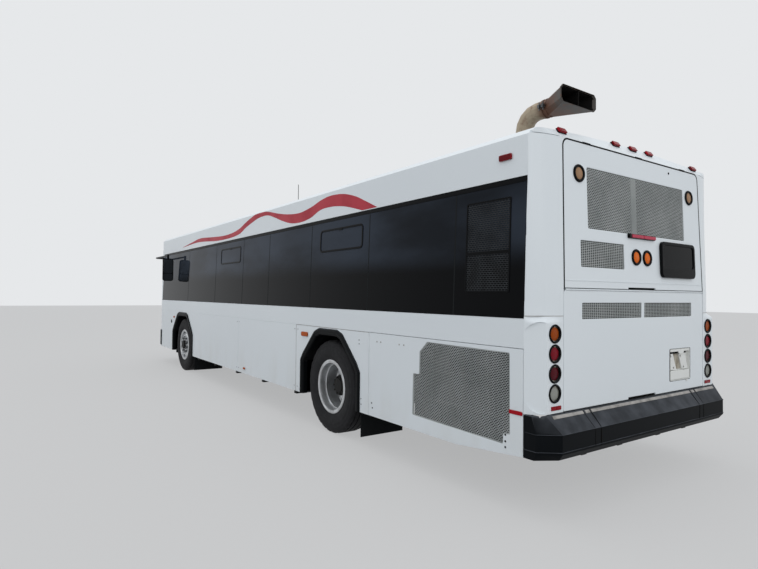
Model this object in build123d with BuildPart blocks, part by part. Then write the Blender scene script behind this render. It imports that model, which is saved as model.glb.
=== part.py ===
from build123d import *
from math import atan2, cos, hypot, radians, sin, tan
import os

# City bus, low floor, in millimetres. +X is forward, +Y is the driver's left, +Z is up.
# The origin is on the ground, midway between the bumpers.

# Driving sizes of the whole bus
rear_overhang = 2851
wheelbase = 5600
front_overhang = 2269
body_width = 2590
nose_length = 570
rear_bumper_depth = 105
front_bumper_depth = 115
skirt_z = 340
seam_z = 1124
sill_z = 1331
window_top_z = 2310
cove_top_z = 2596
roof_edge_z = 2640
crown_z = 2700
tumblehome = 30
cove_lean = 33
roof_edge_y = 1215
wall = 50
skin = 45
seat_gap = 0.3
panel_gap = 4
door_gap = 8
joint_gap = 5
hub_running_gap = 0.3
rear_seam = 105

half_width = body_width / 2
overall_length = rear_overhang + wheelbase + front_overhang
rear_x = -overall_length / 2 + rear_bumper_depth
nose_x = overall_length / 2 - front_bumper_depth
rear_axle_x = -overall_length / 2 + rear_overhang
front_axle_x = rear_axle_x + wheelbase
# Distances ahead of the flat rear face
rear_axle_at = rear_overhang - rear_bumper_depth
front_axle_at = rear_axle_at + wheelbase
front_seam = front_axle_at + front_overhang - front_bumper_depth - nose_length
window_lean = atan2(tumblehome, window_top_z - sill_z)
cove_angle = atan2(cove_lean - tumblehome, cove_top_z - window_top_z)

LEFT = 1
RIGHT = -1
SIDES = (("left", LEFT), ("right", RIGHT))


def ahead(distance):
    """X of a point that lies this far ahead of the flat rear face."""
    return rear_x + distance


def wall_plane(side, y, z=0.0, lean=0.0):
    """Plane on one side of the bus. Its x is forward, its y is up, and side * depth extrudes inwards."""
    return Plane(
        origin=(0, side * y, z),
        x_dir=(1, 0, 0),
        z_dir=(0, -cos(lean), -side * sin(lean)),
    )


def box(x_range, y_range, z_range, mode=Mode.ADD):
    """Box between two corners, given as ranges."""
    centre = tuple((a + b) / 2 for a, b in (x_range, y_range, z_range))
    size = tuple(abs(b - a) for a, b in (x_range, y_range, z_range))
    with Locations(centre):
        return Box(*size, mode=mode)


def post(x, y, z_range, radius, mode=Mode.ADD):
    """Upright cylinder."""
    with Locations((x, y, (z_range[0] + z_range[1]) / 2)):
        return Cylinder(radius, z_range[1] - z_range[0], mode=mode)


def across(x, y_range, z, radius, mode=Mode.ADD):
    """Cylinder that lies across the bus."""
    with Locations(Location((x, (y_range[0] + y_range[1]) / 2, z), (90, 0, 0))):
        return Cylinder(radius, abs(y_range[1] - y_range[0]), mode=mode)


def rectangle(x_range, z_range, mode=Mode.ADD):
    """Rectangle between two corners of the sketch plane."""
    with Locations(((x_range[0] + x_range[1]) / 2, (z_range[0] + z_range[1]) / 2)):
        return Rectangle(x_range[1] - x_range[0], z_range[1] - z_range[0], mode=mode)


def polygon(points, mode=Mode.ADD):
    """Polygon through points that are given in the sketch plane."""
    return Polygon(*points, align=None, mode=mode)


def save(piece, name):
    """Labels a finished piece and writes it under its own name."""
    piece.part.label = name
    export_step(piece.part, f"parts/{name}.step")


os.makedirs("parts", exist_ok=True)

# Wheels, tyres and their arches
tyre_radius = 495
tyre_width = 280
rim_radius = 286
rim_width = 236
track_outer_y = 1270
dual_pitch = 340
tyre_y = track_outer_y - tyre_width / 2
dual_y = tyre_y - dual_pitch
arch_trim_width = 52
arch_trim_proud = 18
arch_shoulder_z = 725
arch_corner_z = 810
arch_slope_end_z = 1074
arch_top_z = 1110

# Wheel arches: name, axle x, half widths at the skirt, at the corner, at the slope's end and at the top
ARCHES = (
    ("rear", rear_axle_x, 630, 568, 297, 192),
    ("front", front_axle_x, 680, 615, 345, 243),
)


def arch_points(axle_x, half, corner_half, slope_half, top_half, inset=0.0):
    """Outline of a wheel arch, drawn in by the inset and open past the skirt."""
    right = [
        (half - inset, skirt_z - 40),
        (half - inset, arch_shoulder_z),
        (corner_half - inset, arch_corner_z - inset * 0.3),
        (slope_half - inset * 0.5, arch_slope_end_z - inset * 0.9),
        (top_half - inset * 0.2, arch_top_z - inset),
    ]
    return [(axle_x + x, z) for x, z in right] + [(axle_x - x, z) for x, z in reversed(right)]


# Doors on the right side and the radiator door on the left: distances ahead of the rear face
rear_door_width = 1120
rear_door = (rear_axle_at + 804, rear_axle_at + 804 + rear_door_width)
front_door = (front_axle_at + 739, front_seam)
radiator_door = (rear_seam, rear_axle_at - 786)
door_thick = 42
jamb_lap = 60
jamb_z = (420, 1100)
knuckle_radius = 6
knuckle_length = 90
radiator_hinge_x = ahead(radiator_door[1] + panel_gap / 2)
RADIATOR_HINGE_Z = (500, 1000)
door_sill_z = 372
door_top_z = 2290
leaf_y = half_width - cove_lean
leaf_thick = 32

# Side windows: rear edge and front edge ahead of the rear face
LEFT_WINDOWS = (
    (799, 2006),
    (2006, 3183),
    (3183, 4358),
    (4358, 5283),
    (5283, 6488),
    (6488, front_axle_at - 322),
    (front_axle_at - 322, front_seam),
)
RIGHT_WINDOWS = (
    (799, 2006),
    (2006, 3183),
    (3183, rear_door[0]),
    (rear_door[1], 5900),
    (5900, 7080),
    (7080, front_axle_at - 146),
    (front_axle_at - 146, front_door[0]),
)
WINDOWS = {LEFT: LEFT_WINDOWS, RIGHT: RIGHT_WINDOWS}
grille_panel = (rear_seam, 799)

# Side walls below the windows, as thick as the real framed wall
# Grooves between the skin panels: one along the seam, and upright ones ahead of the rear face
PANEL_JOINTS = {LEFT: (3500, 5400), RIGHT: (5400,)}
groove_width = 6
groove_depth = 3
for side_name, side in SIDES:
    with BuildPart() as side_wall:
        with BuildSketch(wall_plane(side, half_width)):
            rectangle((ahead(rear_seam), ahead(front_seam)), (skirt_z, sill_z))
            for arch_name, *arch_sizes in ARCHES:
                polygon(arch_points(*arch_sizes, inset=arch_trim_width), mode=Mode.SUBTRACT)
            if side == RIGHT:
                for door_from, door_to in (rear_door, front_door):
                    rectangle((ahead(door_from), ahead(door_to)), (door_sill_z, sill_z), mode=Mode.SUBTRACT)
            else:
                rectangle(
                    (ahead(radiator_door[0]), ahead(radiator_door[1] + panel_gap)),
                    (skirt_z, seam_z + panel_gap),
                    mode=Mode.SUBTRACT,
                )
        extrude(amount=side * wall)
        with BuildSketch(wall_plane(side, half_width)):
            rectangle(
                (ahead(rear_seam), ahead(front_seam)),
                (seam_z - groove_width / 2, seam_z + groove_width / 2),
            )
            for joint_at in PANEL_JOINTS[side]:
                rectangle((ahead(joint_at), ahead(joint_at) + groove_width), (skirt_z, seam_z))
        extrude(amount=side * groove_depth, mode=Mode.SUBTRACT)
        if side == LEFT:
            box(
                (ahead(radiator_door[1] - jamb_lap), ahead(radiator_door[1] + jamb_lap / 2)),
                (half_width - door_thick - seat_gap, half_width - wall),
                jamb_z,
            )
            for hinge_z in RADIATOR_HINGE_Z:
                socket_z = (hinge_z - knuckle_length / 2 - 1, hinge_z + knuckle_length / 2 + 1)
                post(radiator_hinge_x, half_width, socket_z, knuckle_radius + 1, mode=Mode.SUBTRACT)
    save(side_wall, f"side_wall_{side_name}")

# Window frames: dark posts and rails behind the glass, leaning in with the glass
glass_thick = 6
glass_gap = 4
frame_depth = 44
post_width = 70
rail_height = 70
frame_lift = frame_depth * sin(window_lean) + seat_gap
window_height = (window_top_z - sill_z) / cos(window_lean)
door_opening_height = (door_top_z - sill_z) / cos(window_lean)
with BuildPart() as window_frames:
    for side_name, side in SIDES:
        plane = wall_plane(side, half_width - glass_thick - seat_gap, sill_z, window_lean)
        with BuildSketch(plane):
            rectangle((ahead(rear_seam), ahead(front_seam)), (frame_lift, window_height - frame_lift))
            for window_from, window_to in WINDOWS[side]:
                rectangle(
                    (ahead(window_from) + post_width / 2, ahead(window_to) - post_width / 2),
                    (rail_height, window_height - rail_height),
                    mode=Mode.SUBTRACT,
                )
            if side == RIGHT:
                for door_from, door_to in (rear_door, front_door):
                    doorway = (ahead(door_from), ahead(door_to))
                    rectangle(doorway, (0, door_opening_height), mode=Mode.SUBTRACT)
        extrude(amount=side * frame_depth)
save(window_frames, "window_frames")

# Side glass: flush panes that meet at thin dark joints, with rims round two opening transoms
TRANSOMS = ((2120, 2975), (5400, 6255))
transom_up = (614, 854)
transom_corner = 45
transom_rim = 14
transom_proud = 4
# The rearmost pane is a panel with two recesses for mesh, split by a bar
grille_recess = (250, 665)
GRILLE_RECESS_UP = ((189, 455), (479, 839))
grille_recess_depth = 3
with BuildPart() as side_glass:
    for side_name, side in SIDES:
        with BuildSketch(wall_plane(side, half_width, sill_z, window_lean)):
            panes = WINDOWS[side] + (grille_panel,)
            for pane_from, pane_to in panes:
                rectangle(
                    (ahead(pane_from) + glass_gap / 2, ahead(pane_to) - glass_gap / 2),
                    (glass_gap, window_height - rail_height * 0.6),
                )
        extrude(amount=side * glass_thick)
        if side == LEFT:
            with BuildSketch(wall_plane(side, half_width, sill_z, window_lean)):
                for transom_from, transom_to in TRANSOMS:
                    size = (transom_to - transom_from, transom_up[1] - transom_up[0])
                    with Locations((ahead((transom_from + transom_to) / 2), sum(transom_up) / 2)):
                        RectangleRounded(*size, transom_corner)
                        RectangleRounded(
                            size[0] - 2 * transom_rim,
                            size[1] - 2 * transom_rim,
                            transom_corner - transom_rim,
                            mode=Mode.SUBTRACT,
                        )
            extrude(amount=-side * transom_proud)
            with BuildSketch(wall_plane(side, half_width, sill_z, window_lean)):
                for recess_up in GRILLE_RECESS_UP:
                    rectangle((ahead(grille_recess[0]), ahead(grille_recess[1])), recess_up)
            extrude(amount=side * grille_recess_depth, mode=Mode.SUBTRACT)
save(side_glass, "side_glass")


def section_points(inset, bottom):
    """Left half of the body's cross-section above the bottom height, drawn in by the inset."""
    corners = [
        (half_width - inset, sill_z),
        (half_width - tumblehome - inset, window_top_z),
        (half_width - cove_lean - inset, cove_top_z - inset * 0.5),
        (roof_edge_y - inset * 0.5, roof_edge_z - inset),
    ]
    above = [point for point in corners if point[1] > bottom]
    foot_y = half_width - inset if bottom < sill_z else half_width - tumblehome - inset
    return [(foot_y, bottom)] + above


def body_prism(inset, bottom, x_range):
    """Solid with the body's cross-section, between two stations and above the bottom height."""
    left = section_points(inset, bottom)
    with BuildPart() as prism:
        with BuildSketch(Plane.YZ.offset(x_range[0])):
            with BuildLine():
                Polyline(*left)
                ThreePointArc(left[-1], (0, crown_z - inset), (-left[-1][0], left[-1][1]))
                Polyline(*[(-y, z) for y, z in left])
                Line(left[0], (-left[0][0], left[0][1]))
            make_face()
        extrude(amount=x_range[1] - x_range[0])
    return prism.part


# Roof: coves over the windows and a crowned top, one shell open to the cabin
roof_span = (ahead(rear_seam), ahead(front_seam))
with BuildPart() as roof_shell:
    add(body_prism(0, window_top_z, roof_span))
    add(body_prism(skin, window_top_z, roof_span), mode=Mode.SUBTRACT)
save(roof_shell, "roof_shell")

# Front end: flat sides, round corners and a bowed nose that leans back above the waist
corner_radius = 420
corner_turn = radians(70)
waist_z = 1150
nose_lean = 190


def nose_plan_face(inset, back):
    """Plan points of the front end: side, shoulder and nose, drawn in and moved back."""
    side_point = (ahead(front_seam), half_width - inset)
    shoulder = (
        ahead(front_seam) + (corner_radius - inset) * sin(corner_turn) - back,
        half_width - corner_radius + (corner_radius - inset) * cos(corner_turn),
    )
    return side_point, shoulder, (nose_x - inset - back, 0)


def nose_form(inset):
    """Front end as a solid, each face moved in by the inset."""
    with BuildPart() as form:
        for height, back in ((waist_z, 0), (crown_z, nose_lean)):
            side_point, shoulder, nose = nose_plan_face(inset, back)
            with BuildSketch(Plane.XY.offset(height)):
                with BuildLine():
                    TangentArc(side_point, shoulder, tangent=(1, 0))
                    ThreePointArc(shoulder, nose, (shoulder[0], -shoulder[1]))
                    TangentArc((side_point[0], -side_point[1]), (shoulder[0], -shoulder[1]), tangent=(1, 0))
                    Line(side_point, (side_point[0], -side_point[1]))
                make_face()
        loft(ruled=True)
        lower = form.faces().sort_by(Axis.Z)[0]
        extrude(lower, amount=waist_z - skirt_z, dir=(0, 0, -1))
        add(body_prism(inset, skirt_z, (ahead(front_seam), nose_x)), mode=Mode.INTERSECT)
    return form.part


nose_outer = nose_form(0)
nose_inner = nose_form(skin)
windshield_z = (1180, 2160)
windshield_half = 1130
windshield_post = 22
front_sign_z = (2262, 2500)
front_sign_half = 880
pane_set_in = 3
headlamp_radius = 88
headlamp_z = 800
HEADLAMP_Y = (700, 900)


def front_openings(clearance):
    """Windscreen halves and sign window, drawn on the plane across the nose."""
    for side_name, side in SIDES:
        edges = sorted((side * (windshield_post + clearance), side * (windshield_half - clearance)))
        rectangle(edges, (windshield_z[0] + clearance, windshield_z[1] - clearance))
    rectangle(
        (-front_sign_half + clearance, front_sign_half - clearance),
        (front_sign_z[0] + clearance, front_sign_z[1] - clearance),
    )


with BuildPart() as front_cap:
    add(nose_outer)
    add(nose_inner, mode=Mode.SUBTRACT)
    with BuildSketch(Plane.YZ.offset(ahead(front_seam) + 90)):
        front_openings(0)
    extrude(amount=nose_x - ahead(front_seam), mode=Mode.SUBTRACT)
    for lamp_y in HEADLAMP_Y:
        for side_name, side in SIDES:
            with Locations(Location((nose_x - 100, side * lamp_y, headlamp_z), (0, 90, 0))):
                Cylinder(headlamp_radius, 400, mode=Mode.SUBTRACT)
save(front_cap, "front_cap")

pane_outer = nose_form(pane_set_in)
pane_inner = nose_form(pane_set_in + glass_thick)
with BuildPart() as front_glass:
    with BuildSketch(Plane.YZ.offset(ahead(front_seam) + 100)):
        front_openings(seat_gap)
    extrude(amount=nose_x - ahead(front_seam))
    add(pane_outer, mode=Mode.INTERSECT)
    add(pane_inner, mode=Mode.SUBTRACT)
save(front_glass, "front_glass")

# Rear corners: lamp pods with a scoop beside the lamps, rounded posts and a sloped header
pod_y = 1010
pod_face_y = 1190
pod_z = (692, 1330)
post_corner_y = 1105
hatch_lean_x = 36
hatch_z = (1545, 2603)
engine_door_z = (694, 1524)
hatch_height = hatch_z[1] - hatch_z[0]
hatch_lean = atan2(hatch_lean_x, hatch_height)
hatch_hinge_z = hatch_z[1] + 1.5
door_hinge_z = (engine_door_z[1] + hatch_z[0]) / 2
REAR_HINGE_Y = (-700, 0, 700)
lintel_half = 1100
lintel_depth = 48
lintel_lap = 55
header_slope_x = 110
rear_lamp_y = 1102
lamp_recess = 18
grommet_width = 12
rear_lamp_radius = 52
REAR_LAMPS = {"amber": (1229,), "red": (1094, 959), "clear": (825,)}
pod_width = half_width - pod_face_y
pod_bulge = 14
# Foot and top of the scoop, from the lamps to the side seam
scoop_foot_z = (705, 727, 800)
scoop_top_z = (1305, 1293, 1245)
with BuildPart() as rear_cap:
    for side_name, side in SIDES:
        scoop_plane = Plane(
            origin=(rear_x, side * pod_face_y, 0),
            x_dir=(rear_seam, side * pod_width, 0),
            z_dir=(-pod_width, side * rear_seam, 0),
        )
        scoop_length = hypot(rear_seam, pod_width)
        bulge = scoop_plane.from_local_coords((scoop_length / 2, 0, pod_bulge))
        with BuildSketch(Plane.XY.offset(pod_z[0])):
            with BuildLine():
                Line((rear_x, side * pod_y), (rear_x, side * pod_face_y))
                ThreePointArc(
                    (rear_x, side * pod_face_y),
                    (bulge.X, bulge.Y),
                    (ahead(rear_seam), side * half_width),
                )
                Polyline(
                    (ahead(rear_seam), side * half_width),
                    (ahead(rear_seam), side * (half_width - wall)),
                    (ahead(skin), side * (pod_face_y - 30)),
                    (ahead(skin), side * pod_y),
                    (rear_x, side * pod_y),
                )
            make_face()
        extrude(amount=pod_z[1] - pod_z[0])
        with BuildSketch(scoop_plane):
            with BuildLine():
                foot, top = (
                    [(u, -side * z) for u, z in zip((0, scoop_length * 0.7, scoop_length + 1), heights)]
                    for heights in (scoop_foot_z, scoop_top_z)
                )
                ThreePointArc(*foot)
                Line(foot[2], top[2])
                ThreePointArc(*reversed(top))
                Line(top[0], foot[0])
            make_face()
        extrude(amount=2 * pod_bulge, mode=Mode.SUBTRACT)
        with BuildSketch(Plane.XY.offset(pod_z[1])):
            with BuildLine():
                Line((rear_x, side * pod_y), (rear_x, side * post_corner_y))
                ThreePointArc(
                    (rear_x, side * post_corner_y),
                    (ahead(32), side * (post_corner_y + 132)),
                    (ahead(rear_seam), side * half_width),
                )
                Polyline(
                    (ahead(rear_seam), side * half_width),
                    (ahead(rear_seam), side * (half_width - wall)),
                    (ahead(skin + 20), side * (post_corner_y + 40)),
                    (ahead(skin + 20), side * pod_y),
                    (rear_x, side * pod_y),
                )
            make_face()
        extrude(amount=hatch_z[1] - pod_z[1])
    with BuildSketch(Plane.XZ):
        polygon([
            (ahead(hatch_lean_x), hatch_z[1] + panel_gap),
            (ahead(rear_seam), crown_z),
            (ahead(rear_seam), hatch_z[1] - 60),
            (ahead(hatch_lean_x + skin + 12), hatch_z[1] - 60),
            (ahead(hatch_lean_x + skin + 12), hatch_z[1] + panel_gap),
        ])
    extrude(amount=half_width - 60, both=True)
    add(body_prism(0, skirt_z, (rear_x - 200, ahead(rear_seam))), mode=Mode.INTERSECT)
    for side_name, side in SIDES:
        for heights in REAR_LAMPS.values():
            for lamp_z in heights:
                with Locations(Location((rear_x, side * rear_lamp_y, lamp_z), (0, 90, 0))):
                    Cylinder(rear_lamp_radius + grommet_width, 2 * lamp_recess, mode=Mode.SUBTRACT)
    # Lintel across the back: the engine door and the hatch close against its face
    lintel_x = door_thick + seat_gap
    lintel_middle_z = hatch_z[0] - door_thick * sin(hatch_lean)
    with BuildSketch(Plane.XZ):
        polygon([
            (ahead(lintel_x), engine_door_z[1] - lintel_lap),
            (ahead(lintel_x), lintel_middle_z),
            (ahead(lintel_x + lintel_lap * tan(hatch_lean)), lintel_middle_z + lintel_lap),
            (ahead(lintel_x + lintel_depth), lintel_middle_z + lintel_lap),
            (ahead(lintel_x + lintel_depth), engine_door_z[1] - lintel_lap),
        ])
    extrude(amount=lintel_half, both=True)
    for hinge_y in REAR_HINGE_Y:
        socket_y = (hinge_y - knuckle_length / 2 - 1, hinge_y + knuckle_length / 2 + 1)
        across(ahead(hatch_lean_x), socket_y, hatch_hinge_z, knuckle_radius + 1, mode=Mode.SUBTRACT)
        leaf_y_range = (socket_y[1], socket_y[1] + knuckle_length)
        across(rear_x, leaf_y_range, door_hinge_z, knuckle_radius)
        box((rear_x, ahead(lintel_x + 1)), leaf_y_range, (door_hinge_z - 3, door_hinge_z + 3))
save(rear_cap, "rear_cap")


def rear_plane(z, lean=0.0, x=0.0):
    """Plane on the rear face, seen from behind: x to the right, y up, positive depth outwards."""
    return Plane(
        origin=(ahead(x), 0, z),
        x_dir=(0, -1, 0),
        z_dir=(-cos(lean), 0, sin(lean)),
    )


# Engine door between the lamp pods: a rim, two louvred grilles and a recess that holds the plate
door_half = 1006
plate_hole_radius = 3.5
plate_hole_pitch = (177.8, 120.65)
GRILLES = ((-794, -12), (30, 799))
grille_z = (1323, 1441)
slat_pitch = 24
slat_height = 10
plate_recess = ((425, 773), (782, 1048))
plate_depth = 22
with BuildPart() as engine_door:
    with BuildSketch(rear_plane(0)):
        rectangle((-door_half, door_half), engine_door_z)
        for grille_from, grille_to in GRILLES:
            rectangle((grille_from, grille_to), grille_z, mode=Mode.SUBTRACT)
            slats = int((grille_z[1] - grille_z[0]) / slat_pitch)
            for row in range(slats):
                slat_z = grille_z[0] + (row + 0.5) * slat_pitch
                rectangle((grille_from, grille_to), (slat_z - slat_height / 2, slat_z + slat_height / 2))
    extrude(amount=-door_thick)
    with BuildSketch(rear_plane(0)):
        rectangle(*plate_recess)
    extrude(amount=-plate_depth, mode=Mode.SUBTRACT)
    with BuildSketch(rear_plane(0)):
        with Locations((sum(plate_recess[0]) / 2, sum(plate_recess[1]) / 2)):
            with GridLocations(*plate_hole_pitch, 2, 2):
                Circle(plate_hole_radius)
    extrude(amount=-door_thick, mode=Mode.SUBTRACT)
    for hinge_y in REAR_HINGE_Y:
        knuckle_y = (hinge_y - knuckle_length / 2, hinge_y + knuckle_length / 2)
        across(rear_x, knuckle_y, door_hinge_z, knuckle_radius)
        box((rear_x, rear_x + knuckle_radius), knuckle_y, (engine_door_z[1] - 10, door_hinge_z))
save(engine_door, "engine_door")

# Upper hatch: leans forward, narrows to its rounded top, with the big grille and the small one
hatch_bottom_half = 1004
hatch_top_half = 979
hatch_corner = 60
big_grille = ((-705, 705), (435, 885))
small_grille = ((-800, -246), (152, 346))
grille_bar = 10
big_grille_cells = (14, 6)
small_grille_cells = (6, 3)


def grille_cells(area, cells):
    """Cuts a grid of cells out of an area and leaves bars between them."""
    (left, right), (bottom, top) = area
    pitch_x = (right - left) / cells[0]
    pitch_z = (top - bottom) / cells[1]
    with Locations(((left + right) / 2, (bottom + top) / 2)):
        with GridLocations(pitch_x, pitch_z, *cells):
            Rectangle(pitch_x - grille_bar, pitch_z - grille_bar, mode=Mode.SUBTRACT)


with BuildPart() as rear_hatch:
    with BuildSketch(rear_plane(hatch_z[0], hatch_lean)) as outline:
        polygon([
            (-hatch_bottom_half, 0),
            (hatch_bottom_half, 0),
            (hatch_top_half, hatch_height),
            (-hatch_top_half, hatch_height),
        ])
        fillet(outline.vertices().group_by(Axis.Z)[-1], hatch_corner)
        grille_cells(big_grille, big_grille_cells)
        grille_cells(small_grille, small_grille_cells)
    extrude(amount=-door_thick)
    for hinge_y in REAR_HINGE_Y:
        knuckle_y = (hinge_y - knuckle_length / 2, hinge_y + knuckle_length / 2)
        across(ahead(hatch_lean_x), knuckle_y, hatch_hinge_z, knuckle_radius)
save(rear_hatch, "rear_hatch")

# Rear destination sign: a blank dark box on the hatch
hatch_face = rear_plane(hatch_z[0], hatch_lean).offset(seat_gap)
sign_area = ((274, 836), (104, 403))
sign_proud = 26
sign_corner = 40
with BuildPart() as rear_sign:
    with BuildSketch(hatch_face) as outline:
        rectangle(*sign_area)
        fillet(outline.vertices(), sign_corner)
    extrude(amount=sign_proud)
save(rear_sign, "rear_sign")

# Lamps on the hatch: round ambers low and high, and a long brake lamp under the big grille
HATCH_AMBERS = ((-80, 254), (80, 254), (-803, 825), (803, 825))
hatch_amber_radius = 42
lamp_dome = 8
with BuildPart() as hatch_amber_lamps:
    with BuildSketch(hatch_face):
        with Locations(*HATCH_AMBERS):
            Circle(hatch_amber_radius)
    extrude(amount=lamp_dome, taper=30)
save(hatch_amber_lamps, "hatch_amber_lamps")

brake_lamp_half = 190
brake_lamp_z = (405, 431)
with BuildPart() as brake_lamp:
    with BuildSketch(hatch_face):
        rectangle((-brake_lamp_half, brake_lamp_half), brake_lamp_z)
    extrude(amount=sign_proud)
save(brake_lamp, "brake_lamp")

# Radiator door on the left: hinged at its front edge, with a stepped mesh opening
RADIATOR_MESH = (
    (1110, 1098),
    (228, 1091),
    (222, 528),
    (281, 524),
    (285, 451),
    (1299, 467),
    (1292, 820),
    (1212, 819),
    (1206, 1010),
)
mesh_bar = 10
mesh_columns = 10
mesh_rows = 6
skirt_kink = 770
skirt_tail_z = 400
mesh_x = (min(x for x, z in RADIATOR_MESH), max(x for x, z in RADIATOR_MESH))
mesh_z = (min(z for x, z in RADIATOR_MESH), max(z for x, z in RADIATOR_MESH))
with BuildPart() as radiator_door_panel:
    with BuildSketch(wall_plane(LEFT, half_width)):
        polygon([
            (ahead(radiator_door[0] + panel_gap), seam_z),
            (ahead(radiator_door[1]), seam_z),
            (ahead(radiator_door[1]), skirt_z),
            (ahead(skirt_kink), skirt_z),
            (ahead(radiator_door[0] + panel_gap), skirt_tail_z),
        ])
    extrude(amount=door_thick)
    with BuildSketch(wall_plane(LEFT, half_width)):
        polygon([(ahead(x), z) for x, z in RADIATOR_MESH])
        for column in range(1, mesh_columns):
            bar_x = ahead(mesh_x[0] + (mesh_x[1] - mesh_x[0]) * column / mesh_columns)
            rectangle((bar_x - mesh_bar / 2, bar_x + mesh_bar / 2), mesh_z, mode=Mode.SUBTRACT)
        for row in range(1, mesh_rows):
            bar_z = mesh_z[0] + (mesh_z[1] - mesh_z[0]) * row / mesh_rows
            bar = (bar_z - mesh_bar / 2, bar_z + mesh_bar / 2)
            rectangle((ahead(mesh_x[0]), ahead(mesh_x[1])), bar, mode=Mode.SUBTRACT)
    extrude(amount=door_thick, mode=Mode.SUBTRACT)
    for hinge_z in RADIATOR_HINGE_Z:
        knuckle_z = (hinge_z - knuckle_length / 2, hinge_z + knuckle_length / 2)
        post(radiator_hinge_x, half_width, knuckle_z, knuckle_radius)
save(radiator_door_panel, "radiator_door")

# Rear bumper: upright face, long sloped top, small lower lip and short flanks
bumper_face_z = (445, 573)
bumper_top_z = 688
bumper_lip_z = 400
# Plan of half the bumper at each height: height, face x, corner y, flank start x
REAR_BUMPER_SECTIONS = (
    (bumper_lip_z, -70, 1150, 20),
    (bumper_face_z[0], -rear_bumper_depth, 1158, 0),
    (bumper_face_z[1], -rear_bumper_depth, 1156, 0),
    (bumper_top_z, -8, 1200, 40),
)
# Joints between the bumper's three sections, cut across its slope and face
bumper_joint_y = 722
bumper_joint = (7, 5)
with BuildPart() as rear_bumper:
    for lower, upper in zip(REAR_BUMPER_SECTIONS, REAR_BUMPER_SECTIONS[1:]):
        for height, face_x, corner_y, flank_x in (lower, upper):
            with BuildSketch(Plane.XY.offset(height)):
                half = [
                    (ahead(rear_seam), half_width),
                    (ahead(flank_x), half_width),
                    (ahead(face_x), corner_y),
                ]
                polygon(half + [(x, -y) for x, y in reversed(half)])
        loft(ruled=True)
    box(
        (ahead(10), ahead(rear_seam + 10)),
        (-half_width + wall, half_width - wall),
        (bumper_lip_z - 10, bumper_top_z + 10),
        mode=Mode.SUBTRACT,
    )
    joint_width, joint_depth = bumper_joint
    for side_name, side in SIDES:
        with BuildSketch(Plane.XZ.offset(-side * bumper_joint_y)):
            skin_line = [(ahead(section[1]), section[0]) for section in REAR_BUMPER_SECTIONS[1:]]
            outer = [(x - joint_depth, z) for x, z in skin_line]
            inner = [(x + joint_depth, z) for x, z in skin_line]
            polygon(outer + inner[::-1])
        extrude(amount=joint_width / 2, both=True, mode=Mode.SUBTRACT)
save(rear_bumper, "rear_bumper")

# Front bumper: follows the bowed nose and stands proud of it
front_bumper_z = (370, 690)
front_bumper_side = 12
with BuildPart() as front_bumper:
    with BuildSketch(Plane.XY.offset(front_bumper_z[0])):
        for inset, back, mode in (
            (-front_bumper_side, front_bumper_side - front_bumper_depth, Mode.ADD),
            (-seat_gap, 0, Mode.SUBTRACT),
        ):
            side_point, shoulder, nose = nose_plan_face(inset, back)
            with BuildLine():
                TangentArc(side_point, shoulder, tangent=(1, 0))
                ThreePointArc(shoulder, nose, (shoulder[0], -shoulder[1]))
                TangentArc((side_point[0], -side_point[1]), (shoulder[0], -shoulder[1]), tangent=(1, 0))
                Line(side_point, (side_point[0], -side_point[1]))
            make_face(mode=mode)
    extrude(amount=front_bumper_z[1] - front_bumper_z[0])
save(front_bumper, "front_bumper")

# Black flares round the wheel arches, and the mud flaps behind the wheels
with BuildPart() as arch_trims:
    for side_name, side in SIDES:
        with BuildSketch(wall_plane(side, half_width)):
            for arch_name, *arch_sizes in ARCHES:
                polygon(arch_points(*arch_sizes))
            for arch_name, *arch_sizes in ARCHES:
                polygon(arch_points(*arch_sizes, inset=arch_trim_width), mode=Mode.SUBTRACT)
            rectangle((rear_x, nose_x), (skirt_z, arch_top_z), mode=Mode.INTERSECT)
        extrude(amount=-side * arch_trim_proud)
save(arch_trims, "arch_trims")

# Wheel boxes: axle x, half length inside, inner side y
box_sheet = 12
box_top_z = 1130
WHEEL_BOXES = {
    "rear": (rear_axle_x, 575, 575),
    "front": (front_axle_x, 620, 640),
}
flap_thick = 8
flap_z = (75, 700)
flap_y = (720, 1240)
with BuildPart() as mud_flaps:
    for axle_x, box_half, box_y in WHEEL_BOXES.values():
        for side_name, side in SIDES:
            flap_x = axle_x - box_half + seat_gap
            box((flap_x, flap_x + flap_thick), (side * flap_y[0], side * flap_y[1]), flap_z)
save(mud_flaps, "mud_flaps")

# Floor: low deck in front, two steps and a raised deck over the rear axle, and a bench box over the engine
floor_z = 390
deck_half = half_width - wall
step_z = 610
raised_z = 830
bench_z = 1250
bulkhead_top_z = 2560
axle_slot_half = 130
axle_slot_top_z = 640
step_x = rear_axle_at + 794
riser_x = rear_axle_at + 494
sheet = 40
# Plates: rear edge and front edge ahead of the rear face, half width, lowest z, highest z
LOW_PLATES = (
    (step_x - sheet, front_seam, deck_half, skirt_z, floor_z),
    (front_seam, front_seam + 90, deck_half - 30, skirt_z, floor_z),
    (front_seam + 90, front_seam + 360, 860, skirt_z, floor_z),
)
RAISED_PLATES = (
    (step_x - sheet, step_x, deck_half, floor_z + seat_gap, step_z),
    (riser_x - sheet, step_x, deck_half, step_z - sheet, step_z),
    (riser_x - sheet, riser_x, deck_half, step_z, raised_z),
    (1560, riser_x, deck_half, raised_z - sheet, raised_z),
)
BULKHEAD_PLATES = (
    (1560, 1600, deck_half, raised_z + seat_gap, bench_z),
    (800, 1600, deck_half - 40, bench_z - sheet, bench_z),
    (800, 840, deck_half - 60, bench_z, bulkhead_top_z),
)


def plates(table):
    """Flat and upright plates across the bus."""
    for plate_from, plate_to, plate_half, low_z, high_z in table:
        box((ahead(plate_from), ahead(plate_to)), (-plate_half, plate_half), (low_z, high_z))


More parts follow.
